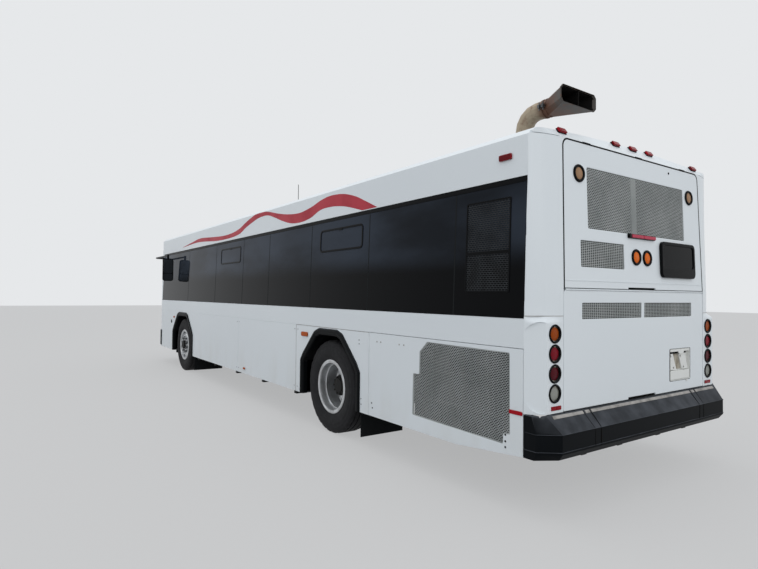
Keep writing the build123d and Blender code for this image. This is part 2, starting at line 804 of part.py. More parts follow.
def wheel_boxes(axle_x, box_half, box_y):
    """Sheet boxes over the wheels of one axle, open below and to the outside."""
    for side_name, side in SIDES:
        x_range = (axle_x - box_half - box_sheet, axle_x + box_half + box_sheet)
        box(x_range, (side * (box_y - box_sheet), side * deck_half), (skirt_z, box_top_z))
    for side_name, side in SIDES:
        y_range = (side * box_y, side * (deck_half + 1))
        room_z = (skirt_z - 1, box_top_z - box_sheet)
        box((axle_x - box_half, axle_x + box_half), y_range, room_z, mode=Mode.SUBTRACT)


with BuildPart() as floor_deck:
    plates(LOW_PLATES)
    wheel_boxes(*WHEEL_BOXES["front"])
save(floor_deck, "floor_deck")

with BuildPart() as raised_deck:
    plates(RAISED_PLATES)
    wheel_boxes(*WHEEL_BOXES["rear"])
    slot_x = (rear_axle_x - axle_slot_half, rear_axle_x + axle_slot_half)
    box(slot_x, (-deck_half, deck_half), (skirt_z - 1, axle_slot_top_z), mode=Mode.SUBTRACT)
save(raised_deck, "raised_deck")

with BuildPart() as engine_bulkhead:
    plates(BULKHEAD_PLATES)
save(engine_bulkhead, "engine_bulkhead")

# Underframe: rails and bearers under the floor, and the engine cradle behind
rail_z = 640
rail_top_z = 720
bearer_z = 250
cradle_z = 440
engine_z = (480, 1190)
low_rail_y = (560, 620)
high_rail_y = (420, 500)
axle_clear = 256
beam = 60
drop_post = (step_x - 414, step_x - 354)
# Beams that are mirrored left to right: x range ahead of the rear face, y range, z range
LOW_BEAMS = (
    (drop_post[0], front_axle_at - axle_clear, *low_rail_y, bearer_z, skirt_z),
    (front_axle_at + 204, front_seam + 320, *low_rail_y, bearer_z, skirt_z),
)
HIGH_BEAMS = (
    (beam, drop_post[1], *high_rail_y, rail_z, rail_top_z),
    (10, 110, *high_rail_y, rail_z - 80, rail_z + 20),
    (*drop_post, high_rail_y[0], low_rail_y[0] - 10, skirt_z + seat_gap, rail_top_z),
    (300, 300 + beam, *high_rail_y, cradle_z, rail_top_z),
    (1240, 1240 + beam, *high_rail_y, cradle_z, rail_top_z),
    (1700, 1700 + beam, *high_rail_y, rail_top_z, raised_z - sheet),
    (drop_post[0] - beam, drop_post[0], *high_rail_y, rail_top_z, raised_z - sheet),
)
# Cross beams: middle ahead of the rear face, half width, z range
LOW_CROSS_BEAMS = (
    (drop_post[0] + beam / 2, low_rail_y[1], bearer_z, skirt_z),
    (3700, 1200, 270, skirt_z),
    (4700, 1200, 270, skirt_z),
    (5700, 1200, 270, skirt_z),
    (6700, 1200, 270, skirt_z),
    (front_axle_at - 746, 1200, 270, skirt_z),
    (front_axle_at + 754, 1200, 270, skirt_z),
    (front_seam + 170, 800, 270, skirt_z),
)
HIGH_CROSS_BEAMS = (
    (300 + beam / 2, high_rail_y[1], cradle_z, engine_z[0]),
    (1240 + beam / 2, high_rail_y[1], cradle_z, engine_z[0]),
    (1900, high_rail_y[1], rail_z, rail_top_z),
    (drop_post[0] + beam / 2, high_rail_y[1], rail_z, rail_top_z),
)


def ladder(beams, cross_beams):
    """Lengthwise beams on both sides with cross beams between or over them."""
    for beam_from, beam_to, low_y, high_y, low_z, high_z in beams:
        for side_name, side in SIDES:
            box((ahead(beam_from), ahead(beam_to)), (side * low_y, side * high_y), (low_z, high_z))
    for beam_at, beam_half_y, low_z, high_z in cross_beams:
        beam_x = (ahead(beam_at - beam / 2), ahead(beam_at + beam / 2))
        box(beam_x, (-beam_half_y, beam_half_y), (low_z, high_z))


with BuildPart() as underframe:
    ladder(LOW_BEAMS, LOW_CROSS_BEAMS)
save(underframe, "underframe")

with BuildPart() as rear_frame:
    ladder(HIGH_BEAMS, HIGH_CROSS_BEAMS)
save(rear_frame, "rear_frame")

# Engine as one plain block, and the radiator behind its mesh door
with BuildPart() as engine_block:
    box((ahead(200), ahead(1400)), (-395, 395), engine_z)
save(engine_block, "engine_block")

with BuildPart() as radiator:
    box((ahead(300), ahead(1250)), (1100, 1190), (500, 1080))
    box((ahead(700), ahead(760)), (500, 1100), (rail_z, rail_z + 60))
save(radiator, "radiator")

# Rear axle: banjo housing, trailing beams and air springs
spindle_radius = 60
spring_radius = 95
spring_offset = 260
spring_beam_z = 500
jack_pad_z = 485
jack_pad_offset = 200
with BuildPart() as rear_axle:
    across(rear_axle_x, (-600, 600), tyre_radius, 75)
    across(rear_axle_x, (-180, 180), tyre_radius, 125)
    across(rear_axle_x, (-1020, 1020), tyre_radius, spindle_radius)
    for side_name, side in SIDES:
        box((rear_axle_x - 400, ahead(drop_post[0])), (side * 430, side * 490), (spring_beam_z, 545))
        jack_pad_x = (rear_axle_x - jack_pad_offset - 40, rear_axle_x - jack_pad_offset + 40)
        box(jack_pad_x, (side * 430, side * 490), (jack_pad_z, spring_beam_z))
        for spring_x in (rear_axle_x - spring_offset, rear_axle_x + spring_offset):
            post(spring_x, side * 460, (540, rail_z), spring_radius)
save(rear_axle, "rear_axle")

# Front axle: dropped beam with an eye and a kingpin at each end
kingpin_y = 950
kingpin_radius = 28
eye_radius = 60
eye_z = (395, 595)
lug_height = 48
beam_half = 60
with BuildPart() as front_axle:
    with BuildSketch(Plane.YZ.offset(front_axle_x - beam_half)):
        polygon([
            (0, 190),
            (670, 190),
            (860, 430),
            (kingpin_y, 440),
            (kingpin_y, 555),
            (800, 555),
            (640, 310),
            (0, 310),
        ])
        mirror(about=Plane.YZ)
    extrude(amount=2 * beam_half)
    for side_name, side in SIDES:
        post(front_axle_x, side * kingpin_y, eye_z, eye_radius)
        post(front_axle_x, side * kingpin_y, (eye_z[0] - lug_height, eye_z[1] + lug_height), kingpin_radius)
        box((front_axle_x, ahead(front_axle_at + 204)), (side * 570, side * 610), (255, 300))
save(front_axle, "front_axle")

# Steering knuckles: a fork round the kingpin, a stub axle and a steering arm
stub_radius = 45
stub_end_y = 1225
arm_reach = 190
arm_pin_radius = 12
track_rod_z = (285, 315)
lug_low = (eye_z[0] - joint_gap - lug_height, eye_z[0] - joint_gap)
lug_high = (eye_z[1] + joint_gap, eye_z[1] + joint_gap + lug_height)
fork_back_y = kingpin_y + eye_radius + 8
for side_name, side in SIDES:
    with BuildPart() as knuckle:
        for lug_z in (lug_low, lug_high):
            post(front_axle_x, side * kingpin_y, lug_z, 55)
            lug_y = (side * kingpin_y, side * (fork_back_y + 20))
            box((front_axle_x - 50, front_axle_x + 50), lug_y, lug_z)
        box(
            (front_axle_x - 60, front_axle_x + 60),
            (side * fork_back_y, side * (fork_back_y + 22)),
            (lug_low[0], lug_high[1]),
        )
        across(front_axle_x, (side * fork_back_y, side * stub_end_y), tyre_radius, stub_radius)
        steer_arm_z = (lug_low[0], lug_low[0] + 25)
        steer_arm_y = (side * (kingpin_y - 18), side * (kingpin_y + 18))
        box((front_axle_x - arm_reach, front_axle_x), steer_arm_y, steer_arm_z)
        post(front_axle_x - arm_reach, side * kingpin_y, steer_arm_z, 24)
        post(front_axle_x - arm_reach, side * kingpin_y, (track_rod_z[0] - 5, lug_low[0]), arm_pin_radius)
        post(
            front_axle_x,
            side * kingpin_y,
            (lug_low[0] - 10, lug_high[1] + 10),
            kingpin_radius + hub_running_gap,
            mode=Mode.SUBTRACT,
        )
    save(knuckle, f"knuckle_{side_name}")

with BuildPart() as track_rod:
    across(front_axle_x - arm_reach, (-kingpin_y, kingpin_y), sum(track_rod_z) / 2, 14)
    for side_name, side in SIDES:
        post(front_axle_x - arm_reach, side * kingpin_y, track_rod_z, 27)
        pin_hole = arm_pin_radius + hub_running_gap
        post(front_axle_x - arm_reach, side * kingpin_y, (200, 400), pin_hole, mode=Mode.SUBTRACT)
save(track_rod, "track_rod")


def wheel_plane(side, axle_x, y):
    """Plane through a wheel's axis: x points outwards along the axis, y is the radius."""
    return Plane(origin=(axle_x, side * y, tyre_radius), x_dir=(0, side, 0), z_dir=(side, 0, 0))


def tyre_profile(centre):
    """Cross-section of one tyre about its own centre plane."""
    half = [
        (rim_width / 2 - 7, rim_radius - 12),
        (rim_width / 2 - 7, rim_radius + 6),
        (tyre_width / 2 - 8, 330),
        (tyre_width / 2, 395),
        (tyre_width / 2 - 14, tyre_radius - 22),
        (tyre_width / 2 - 32, tyre_radius),
    ]
    return [(centre + x, r) for x, r in half] + [(centre - x, r) for x, r in reversed(half)]



def hand_holes(plane, cone_x):
    """Pins that cut the hand holes through the cone of a disc."""
    with BuildPart() as pins:
        with BuildSketch(Plane(plane.origin, x_dir=(1, 0, 0), z_dir=plane.x_dir).offset(cone_x[0])):
            with PolarLocations(hand_hole_circle, wheel_nuts, start_angle=180 / wheel_nuts):
                Circle(hand_hole_radius)
        extrude(amount=cone_x[1] - cone_x[0])
    return pins.part


def nut_ring(plane, face_x):
    """Ring of nuts that stand on the face of a disc, sunk 1 mm into it."""
    with BuildPart() as nuts:
        with BuildSketch(Plane(plane.origin, x_dir=(1, 0, 0), z_dir=plane.x_dir).offset(face_x - 1)):
            with PolarLocations(nut_circle, wheel_nuts):
                RegularPolygon(nut_radius, 6)
        extrude(amount=nut_height)
    return nuts.part


wheel_nuts = 10
nut_circle = 143
nut_radius = 19
nut_height = 24
hand_hole_circle = 224
hand_hole_radius = 14
bead_radius = rim_radius - 22
disc_thick = 14
disc_radius = 190
drum_radius = 206
rim_flange = rim_width / 2

# Wheels: hub, disc and rim turned as one piece. Steered wheels dish out, twin wheels dish in
for side_name, side in SIDES:
    front_plane = wheel_plane(side, front_axle_x, tyre_y)
    axis = Axis((front_axle_x, side * tyre_y, tyre_radius), (0, 1, 0))
    with BuildPart() as front_tyre:
        with BuildSketch(front_plane):
            polygon(tyre_profile(0))
        revolve(axis=axis)
    save(front_tyre, f"front_tyre_{side_name}")

    front_holes = hand_holes(front_plane, (40, 120))
    front_nuts = nut_ring(front_plane, 104)
    with BuildPart() as front_wheel:
        with BuildSketch(front_plane):
            polygon([
                (150, 0),
                (150, 62),
                (104, 78),
                (104, disc_radius),
                (70, 248),
                (rim_flange + 4, 252),
                (rim_flange + 4, rim_radius),
                (rim_flange - 5, rim_radius),
                (rim_flange - 6.5, bead_radius + 9),
                (-rim_flange + 6.5, bead_radius + 9),
                (-rim_flange + 5, rim_radius),
                (-rim_flange - 4, rim_radius),
                (-rim_flange - 4, 252),
                (56, 248),
                (88, disc_radius),
                (88, drum_radius - 14),
                (-80, drum_radius - 14),
                (-80, drum_radius - 30),
                (70, drum_radius - 30),
                (70, 90),
                (-50, 80),
                (-50, stub_radius + hub_running_gap),
                (stub_end_y - tyre_y + 3, stub_radius + hub_running_gap),
                (stub_end_y - tyre_y + 3, 0),
            ])
        revolve(axis=axis)
        add(front_holes, mode=Mode.SUBTRACT)
        add(front_nuts)
    save(front_wheel, f"front_wheel_{side_name}")

    rear_centre = (tyre_y + dual_y) / 2
    rear_plane_y = wheel_plane(side, rear_axle_x, rear_centre)
    axis = Axis((rear_axle_x, side * rear_centre, tyre_radius), (0, 1, 0))
    with BuildPart() as rear_tyres:
        with BuildSketch(rear_plane_y):
            polygon(tyre_profile(dual_pitch / 2))
            polygon(tyre_profile(-dual_pitch / 2))
        revolve(axis=axis)
    save(rear_tyres, f"rear_tyres_{side_name}")

    outer_rim = [
        (200, 0),
        (200, 72),
        (60, 90),
        (disc_thick, 112),
        (disc_thick, disc_radius),
        (dual_pitch / 2 - 90, 248),
        (dual_pitch / 2 + rim_flange + 4, 252),
        (dual_pitch / 2 + rim_flange + 4, rim_radius),
        (dual_pitch / 2 + rim_flange - 5, rim_radius),
        (dual_pitch / 2 + rim_flange - 6.5, bead_radius + 9),
        (dual_pitch / 2 - rim_flange + 6.5, bead_radius + 9),
        (dual_pitch / 2 - rim_flange + 5, rim_radius),
        (dual_pitch / 2 - rim_flange - 4, rim_radius),
        (dual_pitch / 2 - rim_flange - 4, 252),
    ]
    inner_rim = [(-x, r) for x, r in reversed(outer_rim[5:])]
    drum = [
        (-disc_thick, disc_radius + 16),
        (-230, drum_radius),
        (-230, drum_radius - 14),
        (-40, drum_radius - 14),
        (-40, 100),
        (-150, 90),
        (-150, spindle_radius + hub_running_gap),
        (62, spindle_radius + hub_running_gap),
        (62, 0),
    ]
    rear_holes = hand_holes(rear_plane_y, (-110, 110))
    rear_nuts = nut_ring(rear_plane_y, disc_thick)
    with BuildPart() as rear_wheels:
        with BuildSketch(rear_plane_y):
            polygon(outer_rim + [(0, disc_radius)] + inner_rim + drum)
        revolve(axis=axis)
        add(rear_holes, mode=Mode.SUBTRACT)
        add(rear_nuts)
    save(rear_wheels, f"rear_wheels_{side_name}")

# Front door: two leaves, each carried by arms on an upright shaft behind its jamb
shaft_inset = 40
shaft_radius = 18
shaft_y = 1190
front_door_gap = 14
leaf_meeting_gap = 10
roller_inset = 20
arm_height = 20
lug_thick = 28
pivot_pin_radius = 10
leaf_frame = 46
belt_rail_z = 1120
leaf_z = (door_sill_z + 26, door_top_z - 12)
arm_low_z = floor_z + 6
front_leaf_z = (arm_low_z + arm_height + joint_gap, door_top_z - 45)
# Foot of each arm and of the lug it turns in: the arms pass under and over the leaf
ARM_LEVELS = (
    (arm_low_z, front_leaf_z[0]),
    (front_leaf_z[1] + joint_gap, front_leaf_z[1] - lug_thick),
)
front_door_middle = (front_door[0] + front_door[1]) / 2
leaf_inner_y = leaf_y - leaf_thick
# Leaves: name, jamb, direction from the jamb to the middle
FRONT_LEAVES = (
    ("rear", front_door[0], 1),
    ("front", front_door[1], -1),
)
for leaf_name, jamb, way in FRONT_LEAVES:
    shaft_x = ahead(jamb - way * shaft_inset)
    roller_x = ahead(front_door_middle - way * roller_inset)
    pivot_x = (shaft_x + roller_x) / 2
    leaf_from = ahead(jamb + way * front_door_gap)
    leaf_to = ahead(front_door_middle - way * leaf_meeting_gap / 2)
    leaf_x = tuple(sorted((leaf_from, leaf_to)))

    with BuildPart() as door_arm:
        post(shaft_x, -shaft_y, (floor_z + seat_gap, door_top_z), shaft_radius)
        for arm_foot, lug_foot in ARM_LEVELS:
            box((shaft_x, pivot_x), (-shaft_y - 14, -shaft_y + 14), (arm_foot, arm_foot + arm_height))
            post(pivot_x, -shaft_y, (arm_foot, arm_foot + arm_height), 18)
            pin_z = (min(arm_foot, lug_foot), max(arm_foot + arm_height, lug_foot + lug_thick))
            post(pivot_x, -shaft_y, pin_z, pivot_pin_radius)
    save(door_arm, f"front_door_arm_{leaf_name}")

    with BuildPart() as door_leaf:
        with BuildSketch(wall_plane(RIGHT, leaf_y)):
            rectangle(leaf_x, front_leaf_z)
            rectangle(
                (leaf_x[0] + leaf_frame, leaf_x[1] - leaf_frame),
                (front_leaf_z[0] + 2 * leaf_frame, front_leaf_z[1] - leaf_frame),
                mode=Mode.SUBTRACT,
            )
            rectangle((leaf_x[0], leaf_x[1]), (belt_rail_z, belt_rail_z + leaf_frame))
        extrude(amount=-leaf_thick)
        for arm_foot, lug_foot in ARM_LEVELS:
            lug_z = (lug_foot, lug_foot + lug_thick)
            box((pivot_x - 20, pivot_x + 20), (-leaf_inner_y, -shaft_y), lug_z)
            post(pivot_x, -shaft_y, lug_z, 20)
            post(pivot_x, -shaft_y, lug_z, pivot_pin_radius + hub_running_gap, mode=Mode.SUBTRACT)
    save(door_leaf, f"front_door_leaf_{leaf_name}")

    with BuildPart() as door_glass:
        with BuildSketch(wall_plane(RIGHT, leaf_y - 8)):
            inside = (leaf_x[0] + leaf_frame + seat_gap, leaf_x[1] - leaf_frame - seat_gap)
            rectangle(inside, (front_leaf_z[0] + 2 * leaf_frame + seat_gap, belt_rail_z - seat_gap))
            rectangle(inside, (belt_rail_z + leaf_frame + seat_gap, front_leaf_z[1] - leaf_frame - seat_gap))
        extrude(amount=-glass_thick)
    save(door_glass, f"front_door_glass_{leaf_name}")

# Rear door: two leaves that swing out on posts at their jambs
rear_door_middle = (rear_door[0] + rear_door[1]) / 2
REAR_LEAVES = (
    ("rear", rear_door[0], 1),
    ("front", rear_door[1], -1),
)
hinge_pin_radius = 6
hinge_pin_inset = 8
hinge_pin_in = 16
for leaf_name, jamb, way in REAR_LEAVES:
    leaf_from = ahead(jamb + way * door_gap)
    leaf_to = ahead(rear_door_middle - way * leaf_meeting_gap / 2)
    leaf_x = tuple(sorted((leaf_from, leaf_to)))
    pin_x = leaf_from + way * hinge_pin_in
    with BuildPart() as door_leaf:
        with BuildSketch(wall_plane(RIGHT, leaf_y)):
            rectangle(leaf_x, leaf_z)
            rectangle(
                (leaf_x[0] + leaf_frame, leaf_x[1] - leaf_frame),
                (leaf_z[0] + 2 * leaf_frame, leaf_z[1] - leaf_frame),
                mode=Mode.SUBTRACT,
            )
            rectangle((leaf_x[0], leaf_x[1]), (belt_rail_z, belt_rail_z + leaf_frame))
        extrude(amount=-leaf_thick)
        post(pin_x, -leaf_y + hinge_pin_inset, (door_sill_z + seat_gap, leaf_z[0]), hinge_pin_radius)
        post(pin_x, -leaf_y + hinge_pin_inset, (leaf_z[1], door_top_z - frame_lift), hinge_pin_radius)
    save(door_leaf, f"rear_door_leaf_{leaf_name}")

    with BuildPart() as door_glass:
        with BuildSketch(wall_plane(RIGHT, leaf_y - 8)):
            inside = (leaf_x[0] + leaf_frame + seat_gap, leaf_x[1] - leaf_frame - seat_gap)
            rectangle(inside, (leaf_z[0] + 2 * leaf_frame + seat_gap, belt_rail_z - seat_gap))
            rectangle(inside, (belt_rail_z + leaf_frame + seat_gap, leaf_z[1] - leaf_frame - seat_gap))
        extrude(amount=-glass_thick)
    save(door_glass, f"rear_door_glass_{leaf_name}")

# Exhaust stack: an upright pipe from the roof, a mitred bend to the rear and a flat flared mouth
stack_x = ahead(490)
stack_y = 840
stack_radius = 66
stack_sheet = 4
stack_z = 2897
stack_base_z = 2660
stack_bend = 130
stack_sides = 16
bend_cuts = 4
flare_x = ahead(240)
mouth_x = ahead(0)
mouth_size = (405, 121)
mouth_chamfer = 22
clamp_proud = 6
clamp_length = 18
clamp_pitch = 34


def flare_section(size, corner):
    """Flat pipe section with chamfered corners."""
    half_y, half_z = size[0] / 2, size[1] / 2
    quarter = [(half_y, half_z - corner), (half_y - corner, half_z)]
    upper = quarter + [(-y, z) for y, z in reversed(quarter)]
    Polygon(*upper, *[(-y, -z) for y, z in upper], align=None)


bend_points = [
    (
        stack_x - stack_bend + stack_bend * cos(radians(90) * cut / bend_cuts),
        stack_y,
        stack_z - stack_bend + stack_bend * sin(radians(90) * cut / bend_cuts),
    )
    for cut in range(bend_cuts + 1)
]
with BuildPart() as exhaust_stack:
    with BuildLine() as stack_path:
        Polyline((stack_x, stack_y, stack_base_z), *bend_points, (flare_x, stack_y, stack_z))
    with BuildSketch(Plane((stack_x, stack_y, stack_base_z))):
        RegularPolygon(stack_radius, stack_sides)
    sweep(path=stack_path.line, transition=Transition.RIGHT)
    pipe_side = 2 * stack_radius
    for wall_in, reach, mode in ((0, 0, Mode.ADD), (stack_sheet, 1, Mode.SUBTRACT)):
        mouth_plane = Plane(origin=(mouth_x - reach, stack_y, stack_z), x_dir=(0, 1, 0), z_dir=(1, 0, 0))
        with BuildSketch(mouth_plane):
            flare_section((mouth_size[0] - 2 * wall_in, mouth_size[1] - 2 * wall_in), mouth_chamfer)
        with BuildSketch(mouth_plane.offset(flare_x - mouth_x + reach)):
            flare_section((pipe_side - 2 * wall_in, pipe_side - 2 * wall_in), pipe_side * 0.29)
        loft(ruled=True, mode=mode)
    for clamp_at in (flare_x, flare_x + clamp_pitch):
        with BuildSketch(Plane(origin=(clamp_at, stack_y, stack_z), x_dir=(0, 1, 0), z_dir=(1, 0, 0))):
            RegularPolygon(stack_radius + clamp_proud, stack_sides)
        extrude(amount=clamp_length)
    add(body_prism(0, window_top_z, roof_span), mode=Mode.SUBTRACT)
save(exhaust_stack, "exhaust_stack")

# Roof fittings: two escape hatches, a rear collar for the stack, a whip aerial and its base
hatch_size = 640
hatch_rise = 55
ROOF_HATCH_X = (3300, 7600)
aerial_x = 4890
aerial_y = 600
aerial_top_z = 3100
with BuildPart() as roof_fittings:
    for hatch_ahead in ROOF_HATCH_X:
        box(
            (ahead(hatch_ahead) - hatch_size / 2, ahead(hatch_ahead) + hatch_size / 2),
            (-hatch_size / 2, hatch_size / 2),
            (crown_z - 15, crown_z + hatch_rise),
        )
    post(ahead(aerial_x), aerial_y, (crown_z - 25, crown_z + 20), 35)
    post(ahead(aerial_x), aerial_y, (crown_z, aerial_top_z), 4)
    add(body_prism(0, window_top_z, roof_span), mode=Mode.SUBTRACT)
save(roof_fittings, "roof_fittings")

# Side mirrors: an arm from the front corner, folded back, with the head hung from it
mirror_arm_z = 2225
mirror_arm_radius = 17
mirror_arm_bend = 50
mirror_root_ahead = 30
mirror_stalk_radius = 22
mirror_head_x = front_seam - 980
mirror_head_y = (1335, 1535)
mirror_head_z = (1720, 2160)
mirror_head_depth = 70
mirror_arm_low_z = mirror_arm_z - mirror_arm_radius
mirror_root_y = half_width + seat_gap - (mirror_arm_low_z - sill_z) * tan(window_lean)
with BuildPart() as mirrors:
    for side_name, side in SIDES:
        root_x = ahead(front_seam) + mirror_root_ahead
        arm_y = side * sum(mirror_head_y) / 2
        with BuildLine() as arm_path:
            FilletPolyline(
                (root_x, side * mirror_root_y, mirror_arm_z),
                (root_x, arm_y, mirror_arm_z),
                (ahead(mirror_head_x), arm_y, mirror_arm_z),
                radius=mirror_arm_bend,
            )
        with BuildSketch(Plane(origin=arm_path.line @ 0, z_dir=arm_path.line % 0)):
            Circle(mirror_arm_radius)
        sweep()
        stalk_z = (mirror_head_z[1] - 5, mirror_arm_z + mirror_stalk_radius)
        post(ahead(mirror_head_x), arm_y, stalk_z, mirror_stalk_radius)
        box(
            (ahead(mirror_head_x) - mirror_head_depth / 2, ahead(mirror_head_x) + mirror_head_depth / 2),
            (side * mirror_head_y[0], side * mirror_head_y[1]),
            mirror_head_z,
        )
save(mirrors, "mirrors")

# Lamps on the body
grommet_proud = 4
pod_face = rear_plane(0).offset(-lamp_recess)
header_lean = atan2(hatch_lean_x - rear_seam, crown_z - hatch_z[1] - panel_gap)
header_face = Plane(
    origin=(ahead((hatch_lean_x + rear_seam) / 2), 0, (hatch_z[1] + panel_gap + crown_z) / 2),
    x_dir=(0, -1, 0),
    z_dir=(-cos(header_lean), 0, -sin(header_lean)),
)
# Header markers: distance across from the middle, and distance up the slope from its middle
HEADER_MARKERS = ((-953, 0), (-245, 36), (0, 36), (245, 36), (953, 0))
reflector = (78, 24)
# Side lamps: distance ahead of the rear face, height, length and height of the lens
SIDE_AMBERS = (
    (rear_axle_at + 534, 1025, 150, 48),
    (5136, 413, 60, 24),
    (front_axle_at + 597, 1003, 60, 30),
)
COVE_RED = (260, 2466, 110, 40)
side_lens_proud = 12


def pod_lenses(heights, radius):
    """Discs on both rear lamp pods at the given heights."""
    with Locations(*[(side * rear_lamp_y, z) for z in heights for side_name, side in SIDES]):
        Circle(radius)


with BuildPart() as amber_lamps:
    with BuildSketch(pod_face):
        pod_lenses(REAR_LAMPS["amber"], rear_lamp_radius)
    extrude(amount=lamp_recess + 8)
    for side_name, side in SIDES:
        for lamp_x, lamp_z, length, height in SIDE_AMBERS:
            with BuildSketch(wall_plane(side, half_width)):
                with Locations((ahead(lamp_x), lamp_z)):
                    RectangleRounded(length, height, height / 2 - 1)
            extrude(amount=-side * side_lens_proud)
save(amber_lamps, "amber_lamps")

with BuildPart() as red_lamps:
    with BuildSketch(pod_face):
        pod_lenses(REAR_LAMPS["red"], rear_lamp_radius)
    extrude(amount=lamp_recess + 8)
    with BuildSketch(rear_plane(0)):
        with Locations((-rear_lamp_y, 726), (rear_lamp_y, 726)):
            Rectangle(*reflector)
    extrude(amount=5)
    for side_name, side in SIDES:
        lamp_x, lamp_z, length, height = COVE_RED
        with BuildSketch(wall_plane(side, half_width - tumblehome, window_top_z, cove_angle)):
            with Locations((ahead(lamp_x), lamp_z - window_top_z)):
                RectangleRounded(length, height, height / 2 - 1)
        extrude(amount=-side * side_lens_proud)
    with BuildSketch(header_face):
        with Locations(*HEADER_MARKERS):
            Rectangle(60, 30)
    extrude(amount=22)
save(red_lamps, "red_lamps")

with BuildPart() as clear_lamps:
    with BuildSketch(pod_face):
        pod_lenses(REAR_LAMPS["clear"], rear_lamp_radius)
    extrude(amount=lamp_recess + 8)
    for lamp_y in HEADLAMP_Y:
        for side_name, side in SIDES:
            surface_x = nose_x - (1 - cos(lamp_y / 2900)) * 2900
            with Locations(Location((surface_x - 40, side * lamp_y, headlamp_z), (0, 90, 0))):
                Cylinder(headlamp_radius - seat_gap, 90)
save(clear_lamps, "clear_lamps")

with BuildPart() as lamp_grommets:
    with BuildSketch(pod_face):
        heights = [z for zs in REAR_LAMPS.values() for z in zs]
        pod_lenses(heights, rear_lamp_radius + grommet_width - seat_gap)
        with Locations(*[(side * rear_lamp_y, z) for z in heights for side_name, side in SIDES]):
            Circle(rear_lamp_radius + seat_gap, mode=Mode.SUBTRACT)
    extrude(amount=lamp_recess + grommet_proud)
save(lamp_grommets, "lamp_grommets")

# Passenger seats: a cushion and a back on one pedestal each
seat_length = 440
seat_height = 430
seat_back_height = 560
seat_pad = 50
pedestal_radius = 45
seat_width = 860
# Seat rows: back's distance ahead of the rear face, floor height, sides of the aisle
SEAT_ROWS = (
    (1700, raised_z, (LEFT, RIGHT)),
    (4280, floor_z, (LEFT,)),
    (5050, floor_z, (LEFT, RIGHT)),
    (5800, floor_z, (LEFT, RIGHT)),
    (6550, floor_z, (LEFT, RIGHT)),
)
with BuildPart() as passenger_seats:
    for seat_x, base_z, sides in SEAT_ROWS:
        for side in sides:
            y_range = (side * (deck_half - 40), side * (deck_half - 40 - seat_width))
            top_z = base_z + seat_height
            pad_z = top_z - seat_pad
            box((ahead(seat_x), ahead(seat_x + seat_length)), y_range, (pad_z, top_z))
            box((ahead(seat_x), ahead(seat_x + seat_pad)), y_range, (pad_z, top_z + seat_back_height))
            post(ahead(seat_x + seat_length / 2), sum(y_range) / 2, (base_z, pad_z), pedestal_radius)
    bench_y = deck_half - 110
    box((ahead(850), ahead(1500)), (-bench_y, bench_y), (bench_z, bench_z + 2 * seat_pad))
    box((ahead(850), ahead(930)), (-bench_y, bench_y), (bench_z, bench_z + seat_back_height))
save(passenger_seats, "passenger_seats")

# Driver's seat, dashboard with the steering wheel, and the hand rails
driver_y = 620
driver_seat_at = front_seam - 910
driver_seat_half = 240
driver_seat_z = (780, 890)
driver_back_z = 1500
with BuildPart() as driver_seat:
    driver_seat_y = (driver_y - driver_seat_half, driver_y + driver_seat_half)
    box((ahead(driver_seat_at), ahead(driver_seat_at + 480)), driver_seat_y, driver_seat_z)
    driver_back = (ahead(driver_seat_at), ahead(driver_seat_at + 110))
    box(driver_back, driver_seat_y, (driver_seat_z[0], driver_back_z))
    post(ahead(driver_seat_at + driver_seat_half), driver_y, (floor_z, driver_seat_z[0] + 20), 110)
save(driver_seat, "driver_seat")

steering_lean = 35
steering_centre = (ahead(front_seam - 290), driver_y, 1110)
steering_radius = 225
steering_grip = 16
steering_sides = 32
spoke_width = 30
dash_back = front_seam + 340
dash_y = (150, 930)
with BuildPart() as dashboard:
    with BuildSketch(Plane.XZ.offset(-dash_y[0])):
        polygon([
            (ahead(front_seam - 130), floor_z),
            (ahead(dash_back), floor_z),
            (ahead(dash_back), 1120),
            (ahead(front_seam + 70), 1150),
            (ahead(front_seam - 130), 960),
        ])
    extrude(amount=-(dash_y[1] - dash_y[0]))
    with BuildSketch(Plane(Location(steering_centre, (0, -steering_lean, 0)))):
        RegularPolygon(steering_radius + steering_grip, steering_sides)
        RegularPolygon(steering_radius - steering_grip, steering_sides, mode=Mode.SUBTRACT)
        Rectangle(2 * steering_radius, spoke_width)
        Rectangle(spoke_width, 2 * steering_radius)
        Circle(50)
    extrude(amount=steering_grip, both=True)
    with Locations(Location(steering_centre, (0, -steering_lean, 0))):
        with Locations((0, 0, -160)):
            Cylinder(30, 320)
    column_x = (ahead(front_seam - 230), ahead(front_seam - 100))
    box(column_x, (driver_y - 40, driver_y + 40), (700, 950))
save(dashboard, "dashboard")

rail_radius = 16
rail_y = 320
rail_overhead_z = 2120
RAIL_SPAN = (1900, front_axle_at + 354)
rail_sides = 12
# Stanchions: distance ahead of the rear face and the floor they stand on
STANCHIONS = (
    (1950, raised_z),
    (3050, raised_z),
    (3900, floor_z),
    (5400, floor_z),
    (6900, floor_z),
    (front_axle_at + 254, floor_z),
)
crown_radius = (roof_edge_y**2 + (crown_z - roof_edge_z) ** 2) / (2 * (crown_z - roof_edge_z))
ceiling_z = crown_z - skin - (rail_y + rail_radius) ** 2 / (2 * crown_radius) - 2 * seat_gap
with BuildPart() as handrails:
    for side_name, side in SIDES:
        with BuildSketch(Plane.YZ.offset(ahead(RAIL_SPAN[0]))):
            with Locations((side * rail_y, rail_overhead_z)):
                RegularPolygon(rail_radius, rail_sides)
        extrude(amount=RAIL_SPAN[1] - RAIL_SPAN[0])
        for stanchion_x, base_z in STANCHIONS:
            with BuildSketch(Plane((ahead(stanchion_x), side * rail_y, base_z))):
                RegularPolygon(rail_radius, rail_sides)
            extrude(amount=ceiling_z - base_z)
save(handrails, "handrails")
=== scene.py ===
import math

